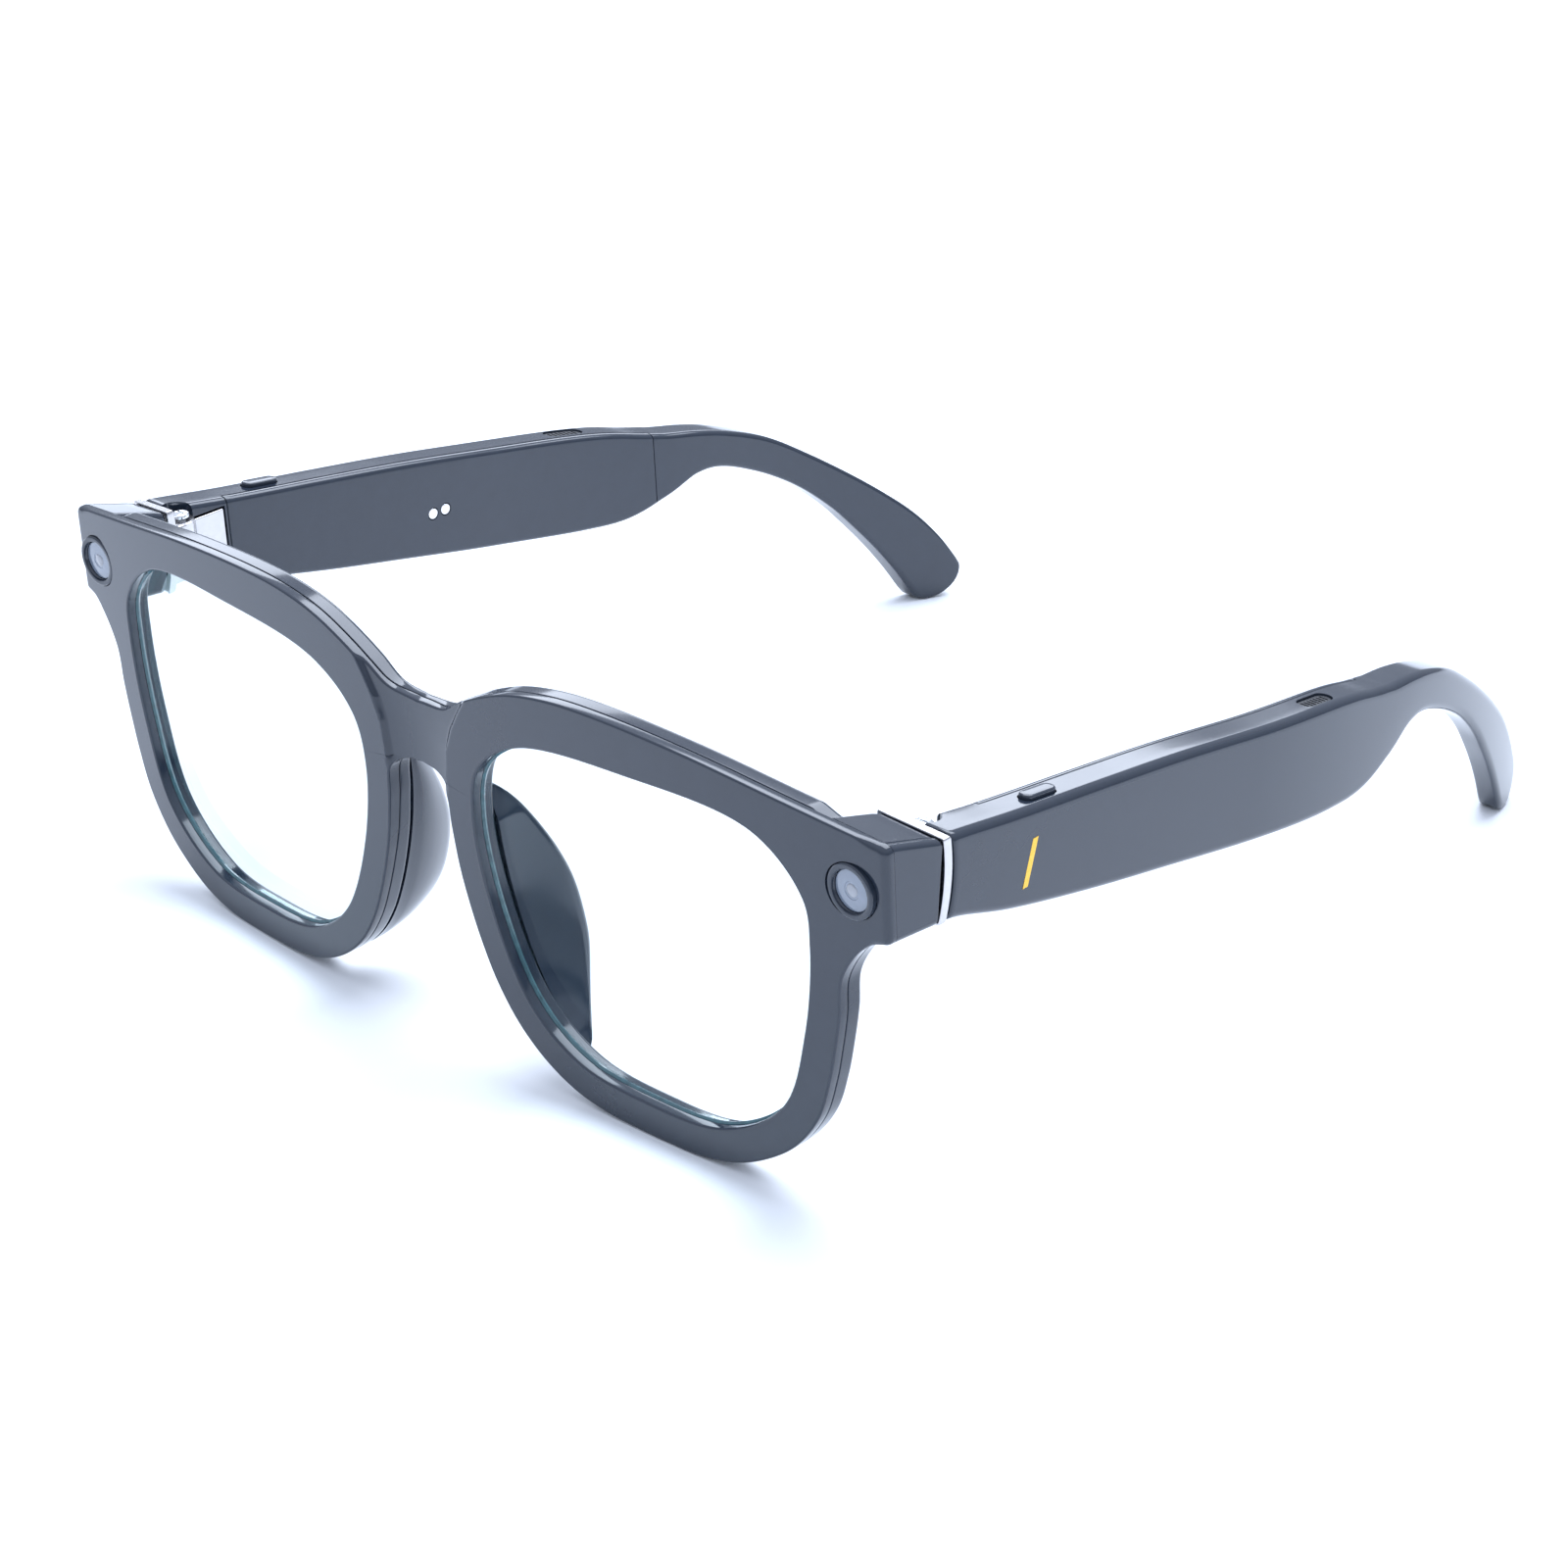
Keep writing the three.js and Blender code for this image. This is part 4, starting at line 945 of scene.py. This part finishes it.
def tip_rows():
    """The rounded end of a temple's tip."""
    rows = []
    for turn in np.radians([12, 24, 36, 48, 58, 67, 75, 82, 87]):
        half = TEMPLE_PATH[-1, 2] / 2 * math.cos(turn)
        thin = 1 - math.sqrt(1 - max(0, (turn - 0.9) / 0.68) ** 2)
        loop = section(half, 1.1 * thin, TEMPLE_THICKNESS - 1.1 * thin, 1.25, 0.9, 0.12)
        place = TEMPLE_PATH[-1, :2] + loop[:, 1:] * PATH_UP[-1] + PATH_HEADING[-1] * 3 * math.sin(turn)
        rows.append(np.column_stack([loop[:, 0], place]))
    return rows


def temple_rows():
    """Rows of the whole left temple, from its bowed front end to its round tip."""
    seat_from, seat_to = COVER_FROM - COVER_GAP, COVER_TO + COVER_END_GAP
    rows = front_rows(seat_from)
    for y in np.linspace(seat_from, seat_to, 62):
        row = upright_section(y, whole)
        row[:, 0] = np.minimum(row[:, 0], COVER_DEPTH - COVER_GAP)
        rows.append(row)
    rows.append(upright_section(seat_to + 0.001, whole))
    for i in range(np.searchsorted(TEMPLE_PATH[:, 0], seat_to + 0.6), len(TEMPLE_PATH), 3):
        loop = whole(TEMPLE_PATH[i, 2] / 2)
        rows.append(np.column_stack([loop[:, 0], TEMPLE_PATH[i, :2] + loop[:, 1:] * PATH_UP[i]]))
    return rows + tip_rows()


def pill(length, width, count=12):
    """A rounded slot outline as (across, along)."""
    r, straight = width / 2, (length - width) / 2
    return np.vstack([arc((0, straight), r, 0, 180, count), arc((0, -straight), r, 180, 360, count)])


def on_top(y, outline, height):
    """An outline laid on a temple's upper edge at y, raised by height along the edge's normal."""
    slope = math.atan2(upper_edge(y + 0.5) - upper_edge(y - 0.5), 1.0)
    along = outline[:, 1] * math.cos(slope) - height * math.sin(slope)
    rise = outline[:, 1] * math.sin(slope) + height * math.cos(slope)
    return on_temple(np.stack([TOP_DEPTH + outline[:, 0], y + along, upper_edge(y) + rise], 1))


def pill_on_top(y, length, width, steps):
    """A solid on a temple's upper edge from rounded slots, each (inset, height)."""
    build = Build()
    build.tube([on_top(y, pill(length - 2 * inset, width - 2 * inset), height) for inset, height in steps])
    return build


def box_build(low, high):
    """A plain block between two corners, to cut with."""
    build = Build()
    (x0, y0, z0), (x1, y1, z1) = low, high
    build.tube([[(x0, y0, z), (x1, y0, z), (x1, y1, z), (x0, y1, z)] for z in (z0, z1)])
    return build


def emblem_outline(grow):
    """A slanted bar on the outer face near the hinge, as (y, z)."""
    y, lean, half, tall = 27.95, 0.99, 0.45 + grow, 2.8 + grow
    z = middle_and_half(y)[0] - 0.4
    return [(y - lean - half, z - tall), (y - lean + half, z - tall), (y + lean + half, z + tall),
            (y + lean - half, z + tall)]


def temple_cuts():
    """What is cut out of a left temple: pocket, button hole, grille seat, and room for the hinge."""
    pocket, well = Build(), Build()
    pocket.tube([on_temple([(d, y, e(y) + s * EDGE_WALL) for d, e, s in (
        (OUTER_WALL, lower_edge, 1), (7, lower_edge, 1), (7, upper_edge, -1), (OUTER_WALL, upper_edge, -1))])
        for y in np.linspace(COVER_FROM + 2.4, COVER_TO - 3, 30)])
    button_hole = pill_on_top(BUTTON_Y, BUTTON_LENGTH + 0.3, BUTTON_WIDTH + 0.3, [(0, 1), (0, -2.6)])
    grille_seat = pill_on_top(GRILLE_Y, GRILLE_LENGTH + 0.2, GRILLE_WIDTH + 0.2, [(0, 1), (0, -1.0)])
    well.tube([[(a, b, z) for a, b in circle((HINGE_X, HINGE_Y), KNUCKLE_RADIUS + LEAF_CLEARANCE, 40)]
               for z in (0, 100)])
    room = LEAF_CLEARANCE
    leaf_pocket = box_build((LEAF_FACE - room, LEAF_FROM - room, LEAF_LOW[2] - room),
                            (LEAF_FACE + 2.1, LEAF_HIGH[1] + room, LEAF_HIGH[2] + room))
    return pocket, button_hole, grille_seat, well, leaf_pocket


def add_arm(side):
    """The moulded temple, hollow behind its cover."""
    build = Build()
    build.tube([on_temple(row) for row in temple_rows()])
    arm = finished(build.on_side(side), f"temple_arm_{side}", f"temple_{side}", BLACK, crease=36,
                   replaces=[f"temple_shell_{side}"])
    carve(arm, *(cut.on_side(side) for cut in temple_cuts()), crease=36)
    even_shading(arm)


def add_cover(side):
    """The cover on a temple's inner face, with its edges rounded and, on the right, holes for the contacts."""
    build = Build()
    rounds = [(COVER_GAP * (1 - math.sin(t)), COVER_GAP * (1 - math.cos(t))) for t in quarter(4)]
    stops = [(tuck, COVER_FROM + back) for tuck, back in rounds]
    stops += [(0, y) for y in np.linspace(COVER_FROM + 1, COVER_TO - 1, 58)]
    stops += [(tuck, COVER_TO - back) for tuck, back in reversed(rounds)]
    build.tube([on_temple(upright_section(y, lambda half: section(
        half - tuck, COVER_DEPTH + tuck * 0.5, TEMPLE_THICKNESS - tuck, 0.14, 0.85, 0))) for tuck, y in stops])
    cover = finished(build.on_side(side), f"inner_cover_{side}", f"temple_{side}", BLACK,
                     crease=36, replaces=[f"temple_cover_{side}"])
    if side == "right":
        holes = []
        for middle in CONTACTS.values():
            hole = Build()
            hole.tube([on_temple([(d, y, z) for y, z in circle(middle, CONTACT_RADIUS + 0.12, 32)])
                       for d in (3, 8)])
            holes.append(hole.mirrored())
        carve(cover, *holes, crease=36)
    even_shading(cover)


def add_button(side):
    """The press button on a temple's upper edge, a soft-edged pill."""
    cap = [(BUTTON_ROUND * (1 - math.cos(t)), BUTTON_PROUD - BUTTON_ROUND + BUTTON_ROUND * math.sin(t))
           for t in quarter(6)]
    build = pill_on_top(BUTTON_Y, BUTTON_LENGTH, BUTTON_WIDTH, [(0, -1.55), *cap, (0.7, BUTTON_PROUD + 0.03)])
    even_shading(finished(build.on_side(side), f"press_cap_{side}", f"button_{side}", BLACK,
                          replaces=[f"power_button_{side}"]))


def add_grille(side):
    """The speaker's opening on a temple's upper edge, with seven slots across it."""
    steps = [(0, -0.9), (0, -0.35), (0.04, -0.28), (0.1, -0.25)]
    build = pill_on_top(GRILLE_Y, GRILLE_LENGTH, GRILLE_WIDTH, steps)
    grille = finished(build.on_side(side), f"slotted_grille_{side}", f"temple_{side}", SATIN,
                      replaces=[f"speaker_grille_{side}"])
    slots = []
    for step in range(-3, 4):
        slot = Build()
        across = pill(1.5, 0.36, 5)[:, ::-1] + (0, step * 0.7)
        slot.tube([on_top(GRILLE_Y, across, h) for h in (0.2, -0.75)])
        slots.append(slot.on_side(side))
    carve(grille, *slots)


def add_inlay(side):
    """The gold bar on a temple's outer face, standing a hair proud of it."""
    build = Build()
    build.tube([on_temple([(d, y, z) for y, z in emblem_outline(grow)])
                for d, grow in ((0.3, 0), (0.0, 0), (-0.03, -0.04))])
    finished(build.on_side(side), f"slanted_inlay_{side}", f"temple_{side}", GOLD,
             replaces=[f"emblem_inlay_{side}"])


CONTACTS = {place: (CONTACT_Y + step * CONTACT_PITCH, middle_and_half(CONTACT_Y)[0] - 0.6)
            for place, step in (("front", -0.5), ("rear", 0.5))}


def add_contacts():
    """Two dished charging contacts in the right temple's cover."""
    for place, middle in CONTACTS.items():
        build = Build()
        build.tube([on_temple([(d, y, z) for y, z in circle(middle, radius, 32)]) for radius, d in (
            (0.79, 2.6), (0.79, 5.7), (0.74, 5.77), (0.6, 5.8), (0.45, 5.79), (0.1, 5.74))])
        even_shading(finished(build.mirrored(), f"round_contact_{place}", "temple_right", CONTACT,
                              replaces=[f"charge_contact_{place}"]))


# ---------------------------------------------------------------- parts inside, kept as they are in the frame
INSIDE = {
    "front_flex_cable": FILM, "camera_module": SATIN, "indicator_module": SATIN,
    "charge_magnet_upper": STEEL, "charge_magnet_lower": STEEL,
}
for temple in ("left", "right"):
    INSIDE.update({
        f"button_switch_{temple}": STEEL, f"speaker_{temple}": SATIN, f"battery_{temple}": FOIL,
        f"circuit_board_{temple}": CIRCUIT, f"temple_flex_cable_{temple}": FILM,
    })


def finish_inside():
    """Each inner part's real material, on the solid it has in the frame."""
    for name, material in INSIDE.items():
        mesh = frame["nodes"][name].data
        mesh.materials.clear()
        mesh.materials.append(material)


# ---------------------------------------------------------------- table, lights and camera
def add_table():
    """A white board that reaches far past the view."""
    mesh = bpy.data.meshes.new("white_table")
    reach = 8
    mesh.from_pydata([(-reach, -reach, 0), (reach, -reach, 0), (reach, reach, 0), (-reach, reach, 0)], [],
                     [(0, 1, 2, 3)])
    mesh.materials.append(table_board())
    table = bpy.data.objects.new("white_table", mesh)
    bpy.context.scene.collection.objects.link(table)


def add_light(name, place, aim, size, power):
    """A soft box of one size, aimed at a point."""
    lamp = bpy.data.lights.new(name, "AREA")
    lamp.shape = "RECTANGLE"
    lamp.size, lamp.size_y = size
    lamp.energy = power
    lamp.color = colour("#e6eefc")[:3]
    light = bpy.data.objects.new(name, lamp)
    light.location = place
    light.rotation_euler = (Vector(aim) - Vector(place)).to_track_quat("-Z", "Y").to_euler()
    bpy.context.scene.collection.objects.link(light)


def add_studio():
    """A pale room that is brighter overhead than at its walls, with two soft boxes."""
    world = bpy.data.worlds.new("white_room")
    world.use_nodes = True
    tree = world.node_tree
    around = add(tree, "ShaderNodeTexCoord").outputs["Generated"]
    height = add(tree, "ShaderNodeSeparateXYZ", Vector=around).outputs["Z"]
    bright = add(tree, "ShaderNodeMapRange", Value=height, _1=0.0, _2=0.7, To_Min=0.5, To_Max=1.25).outputs[0]
    fill(tree.nodes["Background"], dict(Color=colour("#e0e9fb"), Strength=bright))
    bpy.context.scene.world = world
    add_light("overhead_softbox", (-0.1, 0.35, 0.9), (0, 0.02, 0.02), (0.9, 0.7), 12)
    add_light("back_softbox", (-1.25, 1.15, 0.75), (0, 0, 0.03), (1.1, 0.5), 7)
    bpy.context.scene.view_settings.view_transform = "Standard"


def add_camera():
    """The camera, set by its place and its three angles on the glasses' own axes."""
    azimuth, elevation, roll = np.radians([46.272, 27.285, -2.787])
    back = Vector((math.sin(azimuth) * math.cos(elevation), -math.cos(azimuth) * math.cos(elevation),
                   math.sin(elevation)))
    side = (-back).cross(Vector((0, 0, 1))).normalized()
    up = side.cross(-back)
    across = math.cos(roll) * side + math.sin(roll) * up
    upwards = -math.sin(roll) * side + math.cos(roll) * up
    turn = Matrix((across, upwards, back)).transposed().to_4x4()
    place = Matrix.Translation(placed([(320.76, -246.49, 239.73)])[0])
    lens = bpy.data.cameras.new("camera")
    lens.lens, lens.sensor_width = 87.16, 36
    lens.clip_start, lens.clip_end = 0.01, 20
    camera = bpy.data.objects.new("camera", lens)
    camera.matrix_world = place @ UPRIGHT @ turn
    bpy.context.scene.collection.objects.link(camera)
    bpy.context.scene.camera = camera


add_front_shell()
add_rear_shell()
add_lenses()
for eye, eye_sign in (("camera", 1), ("indicator", -1)):
    add_bezel(eye, eye_sign)
    add_window(eye, eye_sign)
add_nose_pads()
for side in ("left", "right"):
    add_hinge_plate(side)
    add_hinge_leaf(side)
    add_screw(side)
for side in ("left", "right"):
    add_arm(side)
    add_cover(side)
    add_button(side)
    add_grille(side)
    add_inlay(side)
add_contacts()
finish_inside()
add_table()
add_studio()
add_camera()

bpy.context.view_layer.update()
